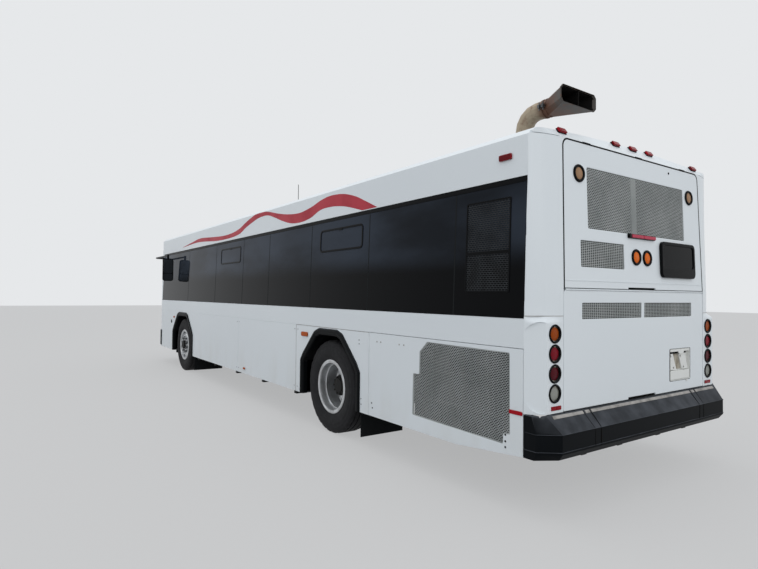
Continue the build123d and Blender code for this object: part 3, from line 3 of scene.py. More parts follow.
import bmesh
import bpy
from mathutils import Matrix, Vector


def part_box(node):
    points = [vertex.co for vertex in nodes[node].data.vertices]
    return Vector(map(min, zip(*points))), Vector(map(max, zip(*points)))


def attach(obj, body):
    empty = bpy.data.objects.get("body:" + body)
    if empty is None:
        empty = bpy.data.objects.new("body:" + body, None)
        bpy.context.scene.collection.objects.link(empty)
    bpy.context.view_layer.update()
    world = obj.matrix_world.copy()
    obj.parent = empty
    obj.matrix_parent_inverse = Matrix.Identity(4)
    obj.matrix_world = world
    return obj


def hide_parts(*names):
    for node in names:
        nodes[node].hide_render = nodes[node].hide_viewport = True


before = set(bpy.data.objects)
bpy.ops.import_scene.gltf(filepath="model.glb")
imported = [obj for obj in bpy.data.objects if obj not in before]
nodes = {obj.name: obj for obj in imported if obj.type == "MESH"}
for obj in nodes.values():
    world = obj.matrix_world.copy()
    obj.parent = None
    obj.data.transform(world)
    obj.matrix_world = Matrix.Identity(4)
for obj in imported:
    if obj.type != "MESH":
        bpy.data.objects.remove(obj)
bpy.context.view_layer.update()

# Places that the whole script shares, in metres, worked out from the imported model
SEAM_AHEAD = 0.105
side_low, side_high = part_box("side_wall_left")
front_tyre_low, front_tyre_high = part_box("front_tyre_left")
rear_tyre_low, rear_tyre_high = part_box("rear_tyres_left")
rear_face_x = side_low.x - SEAM_AHEAD
half_width = side_high.y
skirt_z = side_low.z
sill_z = side_high.z
rear_axle_x = (rear_tyre_low.x + rear_tyre_high.x) / 2
front_axle_x = (front_tyre_low.x + front_tyre_high.x) / 2
tyre_radius = front_tyre_high.z / 2
LEFT, RIGHT = 1, -1
SIDES = (("left", LEFT), ("right", RIGHT))


def ahead(distance):
    """X of a point this far ahead of the flat rear face."""
    return rear_face_x + distance


# Shapes

class Shape:
    """Points and faces of one piece, gathered before its mesh is made."""

    def __init__(self):
        self.points = []
        self.faces = []

    def add(self, points, faces, place=None):
        """More points and faces, moved to a place if one is given."""
        start = len(self.points)
        for point in points:
            point = Vector(point)
            self.points.append(place @ point if place else point)
        self.faces += [[start + i for i in face] for face in faces]
        return self

    def loft(self, rings, closed=True, caps=True, place=None):
        """Skin over rings of equally many points."""
        count = len(rings[0])
        points = [point for ring in rings for point in ring]
        faces = []
        for ring in range(len(rings) - 1):
            for i in range(count if closed else count - 1):
                j = (i + 1) % count
                a, b = ring * count, (ring + 1) * count
                faces.append([a + i, a + j, b + j, b + i])
        if caps:
            faces.append(list(range(count))[::-1])
            faces.append([(len(rings) - 1) * count + i for i in range(count)])
        return self.add(points, faces, place)

    def prism(self, outline, low, high, place=None):
        """Outline in the first two coordinates, run along the third."""
        rings = [[(u, v, w) for u, v in outline] for w in (low, high)]
        return self.loft(rings, place=place)

    def block(self, u, v, w, place=None):
        """Box between the low and high values of its three coordinates."""
        corners = [(u[0], v[0]), (u[1], v[0]), (u[1], v[1]), (u[0], v[1])]
        return self.prism(corners, w[0], w[1], place)

    def lathe(self, profile, place, sides=64, whole=True):
        """Profile of (radius, height) turned about the third axis."""
        rings = []
        for radius, height in profile:
            turns = [math.tau * i / sides for i in range(sides)]
            rings.append([(radius * math.cos(t), radius * math.sin(t), height) for t in turns])
        if not whole:
            rings.append(rings[0])
        return self.loft(rings, caps=whole, place=place)

    def tube(self, path, radius, sides=12, closed=False, place=None):
        """Round bar along a path of points."""
        path = [Vector(point) for point in path]
        rings = []
        across = None
        for i, point in enumerate(path):
            before = path[i - 1] if i or closed else path[0]
            after = path[(i + 1) % len(path)] if i < len(path) - 1 or closed else path[-1]
            heading = (after - before).normalized()
            if across is None:
                across = heading.orthogonal().normalized()
            across = (across - heading * across.dot(heading)).normalized()
            other = heading.cross(across)
            turns = [math.tau * k / sides for k in range(sides)]
            rings.append([point + radius * (math.cos(t) * across + math.sin(t) * other) for t in turns])
        if closed:
            rings.append(rings[0])
        return self.loft(rings, caps=not closed, place=place)

    def sheet(self, loops, low, high, place=None, edge=0.0):
        """Flat sheet with holes. The first loop is its outline, and edge rounds its edges."""
        curve = bpy.data.curves.new("outline", "CURVE")
        curve.dimensions = "2D"
        curve.fill_mode = "BOTH"
        curve.extrude = (high - low) / 2 - edge
        curve.bevel_depth = edge
        curve.bevel_resolution = 1
        curve.offset = -edge
        for loop in loops:
            spline = curve.splines.new("POLY")
            spline.points.add(len(loop) - 1)
            spline.use_cyclic_u = True
            for point, (u, v) in zip(spline.points, loop):
                point.co = (u, v, 0, 1)
        holder = bpy.data.objects.new("outline", curve)
        mesh = bpy.data.meshes.new_from_object(holder)
        shift = Matrix.Translation((0, 0, (low + high) / 2))
        points = [shift @ vertex.co for vertex in mesh.vertices]
        self.add(points, [list(polygon.vertices) for polygon in mesh.polygons], place)
        bpy.data.objects.remove(holder)
        bpy.data.curves.remove(curve)
        bpy.data.meshes.remove(mesh)
        return self

    def bars(self, area, pitch, strand, depth, place, inside=None, staggered=False):
        """Perforated sheet: level bars with short uprights between them, every second row moved on."""
        (left, right), (bottom, top) = area
        columns = round((right - left) / pitch[0])
        rows = round((top - bottom) / pitch[1])
        step_u, step_v = (right - left) / columns, (top - bottom) / rows
        half = strand / 2

        def clear(u, v):
            return inside is None or inside(u, v)

        for row in range(rows + 1):
            v = bottom + row * step_v
            start = None
            for column in range(columns + 1):
                u = left + column * step_u
                open_here = column < columns and clear(u + step_u / 2, v)
                if open_here and start is None:
                    start = u
                if not open_here and start is not None:
                    self.block((start, u), around(v, half), (-depth, 0), place)
                    start = None
        for row in range(rows):
            v = bottom + row * step_v
            shift = step_u / 2 if staggered and row % 2 else 0
            for column in range(columns + 1):
                u = left + column * step_u + shift
                if u <= right and clear(u, v + step_v / 2):
                    self.block(around(u, half), (v + half, v + step_v - half), (-depth, 0), place)
        return self


def piece(name, shape, material, body, replaces=(), crease=35, edge=0.0, subdivide=0):
    """Makes the object of a finished shape and says what it rides on and stands for."""
    mesh = bpy.data.meshes.new(name)
    mesh.from_pydata(shape.points, [], shape.faces)
    work = bmesh.new()
    work.from_mesh(mesh)
    bmesh.ops.remove_doubles(work, verts=work.verts, dist=0.00002)
    bmesh.ops.dissolve_degenerate(work, edges=work.edges, dist=0.00001)
    bmesh.ops.recalc_face_normals(work, faces=work.faces)
    work.to_mesh(mesh)
    work.free()
    mesh.shade_smooth()
    mesh.set_sharp_from_angle(angle=math.radians(crease))
    mesh.materials.append(material)
    made = bpy.data.objects.new(name, mesh)
    bpy.context.scene.collection.objects.link(made)
    if edge:
        bevel = made.modifiers.new("edge", "BEVEL")
        bevel.width = edge
        bevel.segments = 2
        bevel.limit_method = "ANGLE"
        bevel.angle_limit = math.radians(40)
        bevel.harden_normals = False
    if subdivide:
        smooth = made.modifiers.new("smooth", "SUBSURF")
        smooth.levels = smooth.render_levels = subdivide
    else:
        # Large flat faces stay flat next to their rounded edges
        weighted = made.modifiers.new("flat faces", "WEIGHTED_NORMAL")
        weighted.keep_sharp = True
    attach(made, body)
    if replaces:
        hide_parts(*replaces)
    return made


def dress(node, material, edge=0.0):
    """Gives a node that stays its material, and rounds its edges."""
    carried = nodes[node]
    carried.data.materials.clear()
    carried.data.materials.append(material)
    if edge:
        weld = carried.modifiers.new("weld", "WELD")
        weld.merge_threshold = 0.00005
        bevel = carried.modifiers.new("edge", "BEVEL")
        bevel.width = edge
        bevel.segments = 2
        bevel.limit_method = "ANGLE"
        bevel.angle_limit = math.radians(40)


def frame_of(origin, u, v):
    """Matrix whose first two axes are u and v and whose third is square to them."""
    u, v = Vector(u).normalized(), Vector(v).normalized()
    w = u.cross(v)
    return Matrix.Translation(origin) @ Matrix((u, v, w)).transposed().to_4x4()


def side_place(side, y, z=0.0, lean=0.0):
    """Plane on one side: u is forward, v is up, and w points out of the bus."""
    out = Vector((0, side * math.cos(lean), math.sin(lean)))
    up = Vector((0, -side * math.sin(lean), math.cos(lean)))
    turn = Matrix((Vector((1, 0, 0)), up, out)).transposed().to_4x4()
    return Matrix.Translation((0, side * y, z)) @ turn


def rear_place(z=0.0, lean=0.0, x=0.0):
    """Plane on the rear face: u runs to the left of the bus, v is up, and w points rearwards."""
    out = Vector((-math.cos(lean), 0, math.sin(lean)))
    up = Vector((math.sin(lean), 0, math.cos(lean)))
    turn = Matrix((Vector((0, 1, 0)), up, out)).transposed().to_4x4()
    return Matrix.Translation((ahead(x), 0, z)) @ turn


def moved(plane, u, v, w=0):
    """Plane whose origin is moved along its own axes."""
    return plane @ Matrix.Translation((u, v, w))


# Axes of a plane that faces rearwards, ahead or up
FACING_BACK = ((0, 0, -1), (1, 0, 0), (0, 1, 0))
FACING_AHEAD = ((0, 0, 1), (1, 0, 0), (0, 1, 0))
FACING_UP = ((0, 1, 0), (1, 0, 0), (0, 0, 1))


def facing(axes, place):
    """Plane with one of these sets of axes and its origin at a place."""
    return Matrix.Translation(place) @ Matrix(axes).to_4x4()


def around(middle, half):
    """Span that reaches equally far to both sides of a value."""
    return middle - half, middle + half


def grown(span, by):
    """Span made longer by the same amount at both ends."""
    return span[0] - by, span[1] + by


def rectangle(u, v):
    """Outline between the low and high values of two coordinates."""
    return [(u[0], v[0]), (u[1], v[0]), (u[1], v[1]), (u[0], v[1])]


def rounded(points, radius, steps=6):
    """Closed outline with round corners. The radius may be a list, with one for each corner."""
    radii = radius if isinstance(radius, (list, tuple)) else [radius] * len(points)
    outline = []
    for i, corner in enumerate(points):
        corner = Vector(corner).to_2d()
        before = (Vector(points[i - 1]).to_2d() - corner).normalized()
        after = (Vector(points[(i + 1) % len(points)]).to_2d() - corner).normalized()
        half_angle = before.angle(after) / 2
        if radii[i] < 1e-5 or half_angle > math.radians(88):
            outline.append(tuple(corner))
            continue
        reach = radii[i] / math.tan(half_angle)
        centre = corner + (before + after).normalized() * radii[i] / math.sin(half_angle)
        start = corner + before * reach - centre
        turn = start.angle_signed(corner + after * reach - centre)
        for step in range(steps + 1):
            spoke = start.copy()
            spoke.rotate(Matrix.Rotation(-turn * step / steps, 2))
            outline.append(tuple(centre + spoke))
    return outline


def round_box(u, v, radius, steps=6):
    """Rectangle with round corners."""
    return rounded(rectangle(u, v), radius, steps)


def ellipse(centre, size, steps=32):
    """Closed outline with two half axes."""
    turns = [math.tau * i / steps for i in range(steps)]
    return [(centre[0] + size[0] * math.cos(t), centre[1] + size[1] * math.sin(t)) for t in turns]


def in_outline(outline):
    """Test that says whether a point lies inside a closed outline."""
    def inside(u, v):
        odd = False
        for (u1, v1), (u2, v2) in zip(outline, outline[1:] + outline[:1]):
            if (v1 > v) != (v2 > v) and u < (u2 - u1) * (v - v1) / (v2 - v1) + u1:
                odd = not odd
        return odd
    return inside


def smooth_step(value):
    """Share from 0 to 1 that starts and ends gently."""
    value = min(max(value, 0.0), 1.0)
    return value * value * (3 - 2 * value)


# Materials

def to_linear(hex_colour, alpha=1.0):
    """Linear colour of an sRGB hex value."""
    values = [int(hex_colour[i:i + 2], 16) / 255 for i in (1, 3, 5)]
    return tuple(v / 12.92 if v <= 0.04045 else ((v + 0.055) / 1.055) ** 2.4 for v in values) + (alpha,)


def add_node(tree, kind, settings, links=None):
    """Adds a node, sets its values, and links its inputs to nodes or to (node, output) pairs."""
    node = tree.nodes.new("ShaderNode" + kind)
    for key, value in settings.items():
        if isinstance(key, str) and hasattr(node, key):
            setattr(node, key, value)
        else:
            node.inputs[key].default_value = value
    for key, source in (links or {}).items():
        output = source[0].outputs[source[1]] if isinstance(source, tuple) else source.outputs[0]
        tree.links.new(output, node.inputs[key])
    return node


def new_finish(name, colour, roughness, **sockets):
    """Material with one principled shader. Uniform values are set on the shader itself."""
    made = bpy.data.materials.new(name)
    made.use_nodes = True
    shader = made.node_tree.nodes["Principled BSDF"]
    shader.inputs["Base Color"].default_value = to_linear(colour)
    shader.inputs["Roughness"].default_value = roughness
    for socket, value in sockets.items():
        shader.inputs[socket.replace("_", " ")].default_value = value
    return made, made.node_tree, shader


def finish_with(tree, shader, colour=None, height=None, depth=0.0001, roughness=None):
    """Links a colour, a bump height with its depth in metres, and a roughness to the shader."""
    if colour:
        tree.links.new(colour.outputs[2], shader.inputs["Base Color"])
    if roughness:
        tree.links.new(roughness.outputs[0], shader.inputs["Roughness"])
    if height:
        output = height[0].outputs[height[1]] if isinstance(height, tuple) else height.outputs[0]
        bump = add_node(tree, "Bump", {"Distance": depth, "Strength": 0.6})
        tree.links.new(output, bump.inputs["Height"])
        tree.links.new(bump.outputs["Normal"], shader.inputs["Normal"])


def blotched(tree, colour, other, size, low=0.35, high=0.7, stretch=(1, 1, 1), most=1.0):
    """Colour with soft patches of another, about the size given in metres."""
    place = add_node(tree, "TexCoord", {})
    spread = add_node(tree, "Mapping", {"Scale": stretch}, {"Vector": (place, "Object")})
    noise = add_node(tree, "TexNoise", {"Scale": 1 / size, "Detail": 5.0}, {"Vector": spread})
    patches = add_node(
        tree, "MapRange",
        {"interpolation_type": "SMOOTHSTEP", "From Min": low, "From Max": high, "To Max": most},
        {"Value": noise},
    )
    mixed = add_node(
        tree, "Mix", {"data_type": "RGBA", 6: to_linear(colour), 7: to_linear(other)}, {0: patches},
    )
    return mixed, patches


def panel_paint(name, colour, shade, dust):
    """Two-pack gloss paint, sprayed on panels: even, with road dust low down and faint streaks."""
    made, tree, shader = new_finish(name, colour, 0.28, Specular_IOR_Level=0.35)
    place = add_node(tree, "TexCoord", {})
    soft = add_node(tree, "TexNoise", {"Scale": 0.6, "Detail": 0.0}, {"Vector": (place, "Object")})
    even = add_node(
        tree, "Mix", {"data_type": "RGBA", 6: to_linear(colour), 7: to_linear(shade)}, {0: soft},
    )
    height = add_node(tree, "SeparateXYZ", {}, {"Vector": (place, "Object")})
    low = add_node(
        tree, "MapRange",
        {"interpolation_type": "SMOOTHSTEP", "From Min": 0.9, "From Max": 0.36, "To Max": 0.35},
        {"Value": (height, "Z")},
    )
    spread = add_node(tree, "Mapping", {"Scale": (0.5, 1, 0.18)}, {"Vector": (place, "Object")})
    noise = add_node(tree, "TexNoise", {"Scale": 9.0, "Detail": 2.0}, {"Vector": spread})
    streaks = add_node(
        tree, "MapRange",
        {"interpolation_type": "SMOOTHSTEP", "From Min": 0.4, "From Max": 0.72, "To Max": 0.6},
        {"Value": noise},
    )
    amount = add_node(tree, "Math", {"operation": "MULTIPLY"}, {0: low, 1: streaks})
    dusty = add_node(tree, "Mix", {"data_type": "RGBA", 7: to_linear(dust)}, {0: amount, 6: (even, 2)})
    finish_with(tree, shader, dusty)
    return made


def moulded(name, colour, dusty_colour, roughness, grain, dust=0.5):
    """Moulded black rubber or plastic: a fine grain, and grey dust on what looks up."""
    made, tree, shader = new_finish(name, colour, roughness, Specular_IOR_Level=0.06)
    geometry = add_node(tree, "NewGeometry", {})
    normal = add_node(tree, "SeparateXYZ", {}, {"Vector": (geometry, "Normal")})
    upward = add_node(
        tree, "MapRange",
        {"interpolation_type": "SMOOTHSTEP", "From Min": 0.1, "From Max": 0.8, "To Max": dust},
        {"Value": (normal, "Z")},
    )
    place = add_node(tree, "TexCoord", {})
    noise = add_node(tree, "TexNoise", {"Scale": 6.0, "Detail": 6.0}, {"Vector": (place, "Object")})
    patches = add_node(
        tree, "MapRange",
        {"interpolation_type": "SMOOTHSTEP", "From Min": 0.3, "From Max": 0.7, "To Min": 0.45},
        {"Value": noise},
    )
    amount = add_node(tree, "Math", {"operation": "MULTIPLY"}, {0: upward, 1: patches})
    worn = add_node(
        tree, "Mix",
        {"data_type": "RGBA", 6: to_linear(colour), 7: to_linear(dusty_colour)}, {0: amount},
    )
    leather = add_node(
        tree, "TexNoise", {"Scale": 1 / grain, "Detail": 2.0}, {"Vector": (place, "Object")},
    )
    finish_with(tree, shader, worn, leather, 0.0003)
    return made


def metal(name, colour, other, roughness, size, metallic=1.0, grain=0.002):
    """Bare or painted metal with blotches of a second shade."""
    shine = 0.5 if metallic > 0.5 else 0.2
    made, tree, shader = new_finish(name, colour, roughness, Metallic=metallic, Specular_IOR_Level=shine)
    mixed, patches = blotched(tree, colour, other, size)
    rough = add_node(
        tree, "MapRange", {"To Min": roughness, "To Max": min(1.0, roughness + 0.12)}, {"Value": patches},
    )
    place = add_node(tree, "TexCoord", {})
    fine = add_node(tree, "TexNoise", {"Scale": 1 / grain, "Detail": 2.0}, {"Vector": (place, "Object")})
    finish_with(tree, shader, mixed, fine, 0.0001, rough)
    return made


def heated_steel(name):
    """Bare steel that heat has browned: tan on the pipe, rusty at the clamps and grey at the mouth."""
    made, tree, shader = new_finish(name, "#9C8E7A", 0.55, Metallic=0.3, Specular_IOR_Level=0.3)
    place = add_node(tree, "TexCoord", {})
    along = add_node(tree, "SeparateXYZ", {}, {"Vector": (place, "Object")})
    mouth = add_node(
        tree, "MapRange",
        {"interpolation_type": "SMOOTHSTEP", "From Min": ahead(0.02), "From Max": ahead(0.20)},
        {"Value": along},
    )
    pipe = add_node(
        tree, "MapRange",
        {"interpolation_type": "SMOOTHSTEP", "From Min": ahead(0.26), "From Max": ahead(0.36)},
        {"Value": along},
    )
    flare = add_node(
        tree, "Mix", {"data_type": "RGBA", 6: to_linear("#55514D"), 7: to_linear("#5E4133")}, {0: mouth},
    )
    whole = add_node(
        tree, "Mix", {"data_type": "RGBA", 7: to_linear("#A39580")}, {0: pipe, 6: (flare, 2)},
    )
    noise = add_node(tree, "TexNoise", {"Scale": 22.0, "Detail": 6.0}, {"Vector": (place, "Object")})
    rust = add_node(
        tree, "MapRange",
        {"interpolation_type": "SMOOTHSTEP", "From Min": 0.5, "From Max": 0.75, "To Max": 0.7},
        {"Value": noise},
    )
    mixed = add_node(
        tree, "Mix", {"data_type": "RGBA", 7: to_linear("#6A4936")}, {0: rust, 6: (whole, 2)},
    )
    finish_with(tree, shader, mixed, noise, 0.0006)
    return made


def lens(name, colour, deep, rib=0.008):
    """Moulded acrylic lens: glossy, with close upright ribs that break up the light."""
    made, tree, shader = new_finish(name, colour, 0.15, Specular_IOR_Level=0.12)
    place = add_node(tree, "TexCoord", {})
    # A wave texture repeats about every pi / 10 of a unit at a scale of 1
    ribs = add_node(
        tree, "TexWave",
        {"wave_type": "BANDS", "bands_direction": "Y", "Scale": math.pi / 10 / rib},
        {"Vector": (place, "Object")},
    )
    mixed = add_node(
        tree, "Mix", {"data_type": "RGBA", 6: to_linear(deep), 7: to_linear(colour)}, {0: (ribs, "Fac")},
    )
    finish_with(tree, shader, mixed, (ribs, "Fac"), 0.0006)
    return made


def window_glass(name):
    """Dark tinted toughened glass: black and glossy, with a pale painted sky reflection that shows on its
    upper half.
    """
    made, tree, shader = new_finish(name, "#0B0D10", 0.05, Specular_IOR_Level=0.05)
    place = add_node(tree, "TexCoord", {})
    height = add_node(tree, "SeparateXYZ", {}, {"Vector": (place, "Object")})
    # Painted reflection of pale sky: it fades in above this height, grows towards the front and breaks
    # into soft patches
    upper = add_node(
        tree, "MapRange",
        {"interpolation_type": "SMOOTHSTEP", "From Min": 1.66, "From Max": 1.90, "To Max": 1.0},
        {"Value": (height, "Z")},
    )
    forward = add_node(
        tree, "MapRange", {"From Min": -5.2, "From Max": 4.0, "To Min": 0.55, "To Max": 1.0},
        {"Value": (height, "X")},
    )
    spread = add_node(tree, "Mapping", {"Scale": (0.6, 1, 1.5)}, {"Vector": (place, "Object")})
    noise = add_node(tree, "TexNoise", {"Scale": 1.3, "Detail": 4.0}, {"Vector": spread})
    patches = add_node(
        tree, "MapRange",
        {"interpolation_type": "SMOOTHSTEP", "From Min": 0.3, "From Max": 0.7, "To Min": 0.25},
        {"Value": noise},
    )
    level = add_node(tree, "Math", {"operation": "MULTIPLY"}, {0: upper, 1: forward})
    amount = add_node(tree, "Math", {"operation": "MULTIPLY"}, {0: level, 1: patches})
    # Pale painted sky reflection mixed over the dark glass colour
    film = add_node(
        tree, "Mix", {"data_type": "RGBA", 6: to_linear("#08090B"), 7: to_linear("#3C4450")}, {0: amount},
    )
    finish_with(tree, shader, film)
    return made


def clear_glass(name, colour):
    """Tinted glass that shows the seats and rails behind it."""
    return new_finish(name, colour, 0.02, IOR=1.45, Transmission_Weight=1.0)[0]


def polished(name, colour, roughness):
    """Bright metal that mirrors the sky and the floor."""
    return new_finish(name, colour, roughness, Metallic=1.0)[0]


def woven(name, colour, thread, size=0.004):
    """Woven moquette: short pile with two shades of thread in a small check, drawn a little coarse."""
    made, tree, shader = new_finish(name, colour, 0.9, Sheen_Weight=0.35, Sheen_Roughness=0.5)
    place = add_node(tree, "TexCoord", {})
    check = add_node(tree, "TexChecker", {"Scale": 1 / size}, {"Vector": (place, "Object")})
    noise = add_node(tree, "TexNoise", {"Scale": 60.0, "Detail": 4.0}, {"Vector": (place, "Object")})
    amount = add_node(tree, "Math", {"operation": "MULTIPLY"}, {0: (check, "Fac"), 1: noise})
    mixed = add_node(
        tree, "Mix", {"data_type": "RGBA", 6: to_linear(colour), 7: to_linear(thread)}, {0: amount},
    )
    finish_with(tree, shader, mixed, (check, "Fac"), 0.0004)
    return made


def speckled(name, colour, fleck, roughness, size, depth=0.0003):
    """Safety flooring or tyre rubber: one colour with paler flecks or scuffs."""
    made, tree, shader = new_finish(name, colour, roughness, Specular_IOR_Level=0.3)
    mixed, patches = blotched(tree, colour, fleck, size, 0.45, 0.7)
    finish_with(tree, shader, mixed, patches, depth)
    return made


white_paint = panel_paint("two_pack_white_paint", "#DDE2E4", "#D6DBDE", "#C2C0B9")
black_primer = moulded("black_primer", "#121416", "#2A2C2E", 0.6, 0.004, 0.2)
flare_rubber = moulded("moulded_epdm_rubber", "#0B0D0F", "#303336", 0.4, 0.003, 0.5)
bumper_skin = moulded("moulded_polyurethane", "#0B0E11", "#4A4D52", 0.5, 0.004, 1.0)
hard_plastic = moulded("moulded_black_abs", "#0A0B0D", "#24272A", 0.35, 0.002, 0.3)
sign_screen = moulded("smoked_polycarbonate", "#07080A", "#101214", 0.1, 0.01, 0.0)
flap_rubber = moulded("flap_rubber", "#1E2021", "#38393A", 0.7, 0.004, 0.3)
seat_shell_plastic = moulded("moulded_grey_shell", "#3A3D41", "#55585B", 0.5, 0.002, 0.2)
chassis_paint = metal("chassis_black_enamel", "#131416", "#28241F", 0.6, 0.08, 0.0)
cast_paint = metal("painted_cast_iron", "#202224", "#3A332D", 0.7, 0.05, 0.0, 0.004)
mesh_coat = metal("perforated_sheet_powder_coat", "#AEB1AF", "#9EA2A0", 0.5, 0.3, 0.0)
satin_mesh = metal("satin_black_mesh", "#2B2E31", "#1F2123", 0.45, 0.1, 0.0)
exhaust_metal = heated_steel("heat_browned_steel")
# Black for the soot in the exhaust and the bumper seams, and for painted shade behind the grilles and
# notches, in the hand holes and in the plate recess
soot_seam_and_painted_shade_black = metal("soot_seam_and_painted_shade_black", "#060606", "#12100E", 0.9, 0.05, 0.0)
wheel_alloy = metal("turned_aluminium", "#D2D4D6", "#B4B5B6", 0.30, 0.12, 0.85)
hub_iron = metal("black_hub_iron", "#0D0E0F", "#1C1A17", 0.5, 0.03, 0.0, 0.004)
radiator_fins = metal("radiator_fins", "#0B0C0D", "#17181A", 0.6, 0.02, 0.3)
rail_steel = metal("brushed_stainless_tube", "#B9BCBE", "#A4A7A9", 0.3, 0.1)
plate_steel = panel_paint("white_baked_enamel", "#E2E3E0", "#D6D6D0", "#C6C4BC")
rib_paint = metal("yellowed_enamel", "#A8A293", "#857D6E", 0.5, 0.05, 0.0)
fastener_zinc = metal("zinc_plated_screw", "#6F7376", "#4D4F50", 0.45, 0.01, 0.8)
stripe_film = metal("red_vinyl_film", "#B22F3D", "#A42B38", 0.4, 0.3, 0.0)
ledge_trim = metal("weathered_grey_trim", "#A39F9A", "#7D7A76", 0.6, 0.08, 0.0)
tyre_rubber = speckled("cured_tyre_rubber", "#18181A", "#202022", 0.8, 0.05, 0.0004)
floor_vinyl = speckled("flecked_safety_vinyl", "#44474A", "#777A7B", 0.7, 0.006)
side_pane = window_glass("tinted_toughened_glass")
windscreen_pane = clear_glass("laminated_windscreen", "#A7B4B4")
door_pane = clear_glass("tinted_door_glass", "#6C7576")
mirror_glass = polished("silvered_mirror_glass", "#53585C", 0.03)
chrome_rim = polished("bright_lens_rim", "#C9C6B4", 0.15)
amber_lens = lens("amber_acrylic", "#B04C04", "#6E3002")
low_amber_lens = lens("bright_amber_acrylic", "#EA7410", "#C05208")
brake_lens = lens("sunlit_red_acrylic", "#C8465C", "#96243A")
tail_lens = lens("tail_red_acrylic", "#8E0A20", "#560614")
faded_lens = lens("sun_faded_amber", "#B08A68", "#7D5F45")
seat_cloth = woven("woven_moquette", "#1B2436", "#46587C")
red_lens = lens("red_acrylic", "#A00818", "#5C040E")
deep_red_lens = lens("deep_red_acrylic", "#5E0718", "#32040C")
clear_lens = lens("clear_acrylic", "#A3A49E", "#73736C")
dark_lens = lens("smoked_acrylic", "#1C0E10", "#0D0707")
head_lens = lens("headlamp_acrylic", "#CDD1D4", "#959A9E", 0.02)


# Camera, floor and light

# The photograph's camera, solved from straight lines of the body
CAMERA_LENS = 25.70
CAMERA_TURNS = (-35.10, 1.119, 0.582)
CAMERA_PLACE = (-7.573, 4.194, 1.481)
bpy.context.scene.view_settings.view_transform = "Standard"
camera_data = bpy.data.cameras.new("photo_camera")
camera_data.lens = CAMERA_LENS
camera_data.sensor_width = 36.0
camera_data.clip_end = 200
camera = bpy.data.objects.new("photo_camera", camera_data)
bpy.context.scene.collection.objects.link(camera)
camera_yaw, camera_pitch, camera_roll = (math.radians(a) for a in CAMERA_TURNS)
looking = Vector((
    math.cos(camera_pitch) * math.cos(camera_yaw),
    math.cos(camera_pitch) * math.sin(camera_yaw),
    math.sin(camera_pitch),
))
level_right = Vector((math.sin(camera_yaw), -math.cos(camera_yaw), 0))
level_up = level_right.cross(looking)
view_right = math.cos(camera_roll) * level_right + math.sin(camera_roll) * level_up
view_up = -math.sin(camera_roll) * level_right + math.cos(camera_roll) * level_up
turn = Matrix((view_right, view_up, -looking)).transposed()
camera.matrix_world = Matrix.Translation(CAMERA_PLACE) @ turn.to_4x4()
bpy.context.scene.camera = camera


def seen_rays(tree):
    """One for the rays that show the surround: to the camera, in gloss and through glass."""
    rays = add_node(tree, "LightPath", {})
    direct = add_node(
        tree, "Math", {"operation": "ADD"}, {0: (rays, "Is Camera Ray"), 1: (rays, "Is Glossy Ray")},
    )
    return add_node(
        tree, "Math",
        {"operation": "ADD", "use_clamp": True}, {0: direct, 1: (rays, "Is Transmission Ray")},
    )


def stage_and_light():
    """Pale floor and surround, and soft lamps that light the rear face a little more than the side."""
    floor_finish, tree, shader = new_finish("pale_floor", "#989796", 0.9)
    paler = add_node(tree, "Emission", {"Color": to_linear("#E4E5E6"), "Strength": 1.0})
    shade = add_node(tree, "MixShader", {0: 0.55}, {1: shader, 2: paler})
    seen = add_node(tree, "MixShader", {}, {0: seen_rays(tree), 1: shader, 2: shade})
    tree.links.new(seen.outputs[0], tree.nodes["Material Output"].inputs["Surface"])
    reach = 60
    floor_mesh = bpy.data.meshes.new("studio_floor")
    corners = [(-reach, -reach, 0), (reach, -reach, 0), (reach, reach, 0), (-reach, reach, 0)]
    floor_mesh.from_pydata(corners, [], [(0, 1, 2, 3)])
    floor_mesh.materials.append(floor_finish)
    floor = bpy.data.objects.new("studio_floor", floor_mesh)
    bpy.context.scene.collection.objects.link(floor)

    world = bpy.data.worlds.new("studio_world")
    bpy.context.scene.world = world
    world.use_nodes = True
    tree = world.node_tree
    lit = tree.nodes["Background"]
    lit.inputs["Color"].default_value = to_linear("#E9EDF2")
    lit.inputs["Strength"].default_value = 1.14
    backdrop = add_node(tree, "Background", {"Color": to_linear("#E6E8EA"), "Strength": 1.0})
    mixed = add_node(tree, "MixShader", {}, {0: seen_rays(tree), 1: lit, 2: backdrop})
    tree.links.new(mixed.outputs[0], tree.nodes["World Output"].inputs["Surface"])

    for name, place, target, size, power in (
        ("rear_softbox", (-13.5, 2.0, 6.0), (-5.0, 0.0, 1.4), 6.0, 140),
        ("top_softbox", (-1.0, 2.0, 11.0), (0.0, 0.0, 1.5), 9.0, 230),
    ):
        lamp = bpy.data.lights.new(name, "AREA")
        lamp.energy = power
        lamp.size = size
        lamp_object = bpy.data.objects.new(name, lamp)
        bpy.context.scene.collection.objects.link(lamp_object)
        lamp_object.location = place
        lamp_object.rotation_euler = (Vector(target) - Vector(place)).to_track_quat("-Z", "Y").to_euler()


stage_and_light()


# Nodes whose shape is right keep it and get their finish

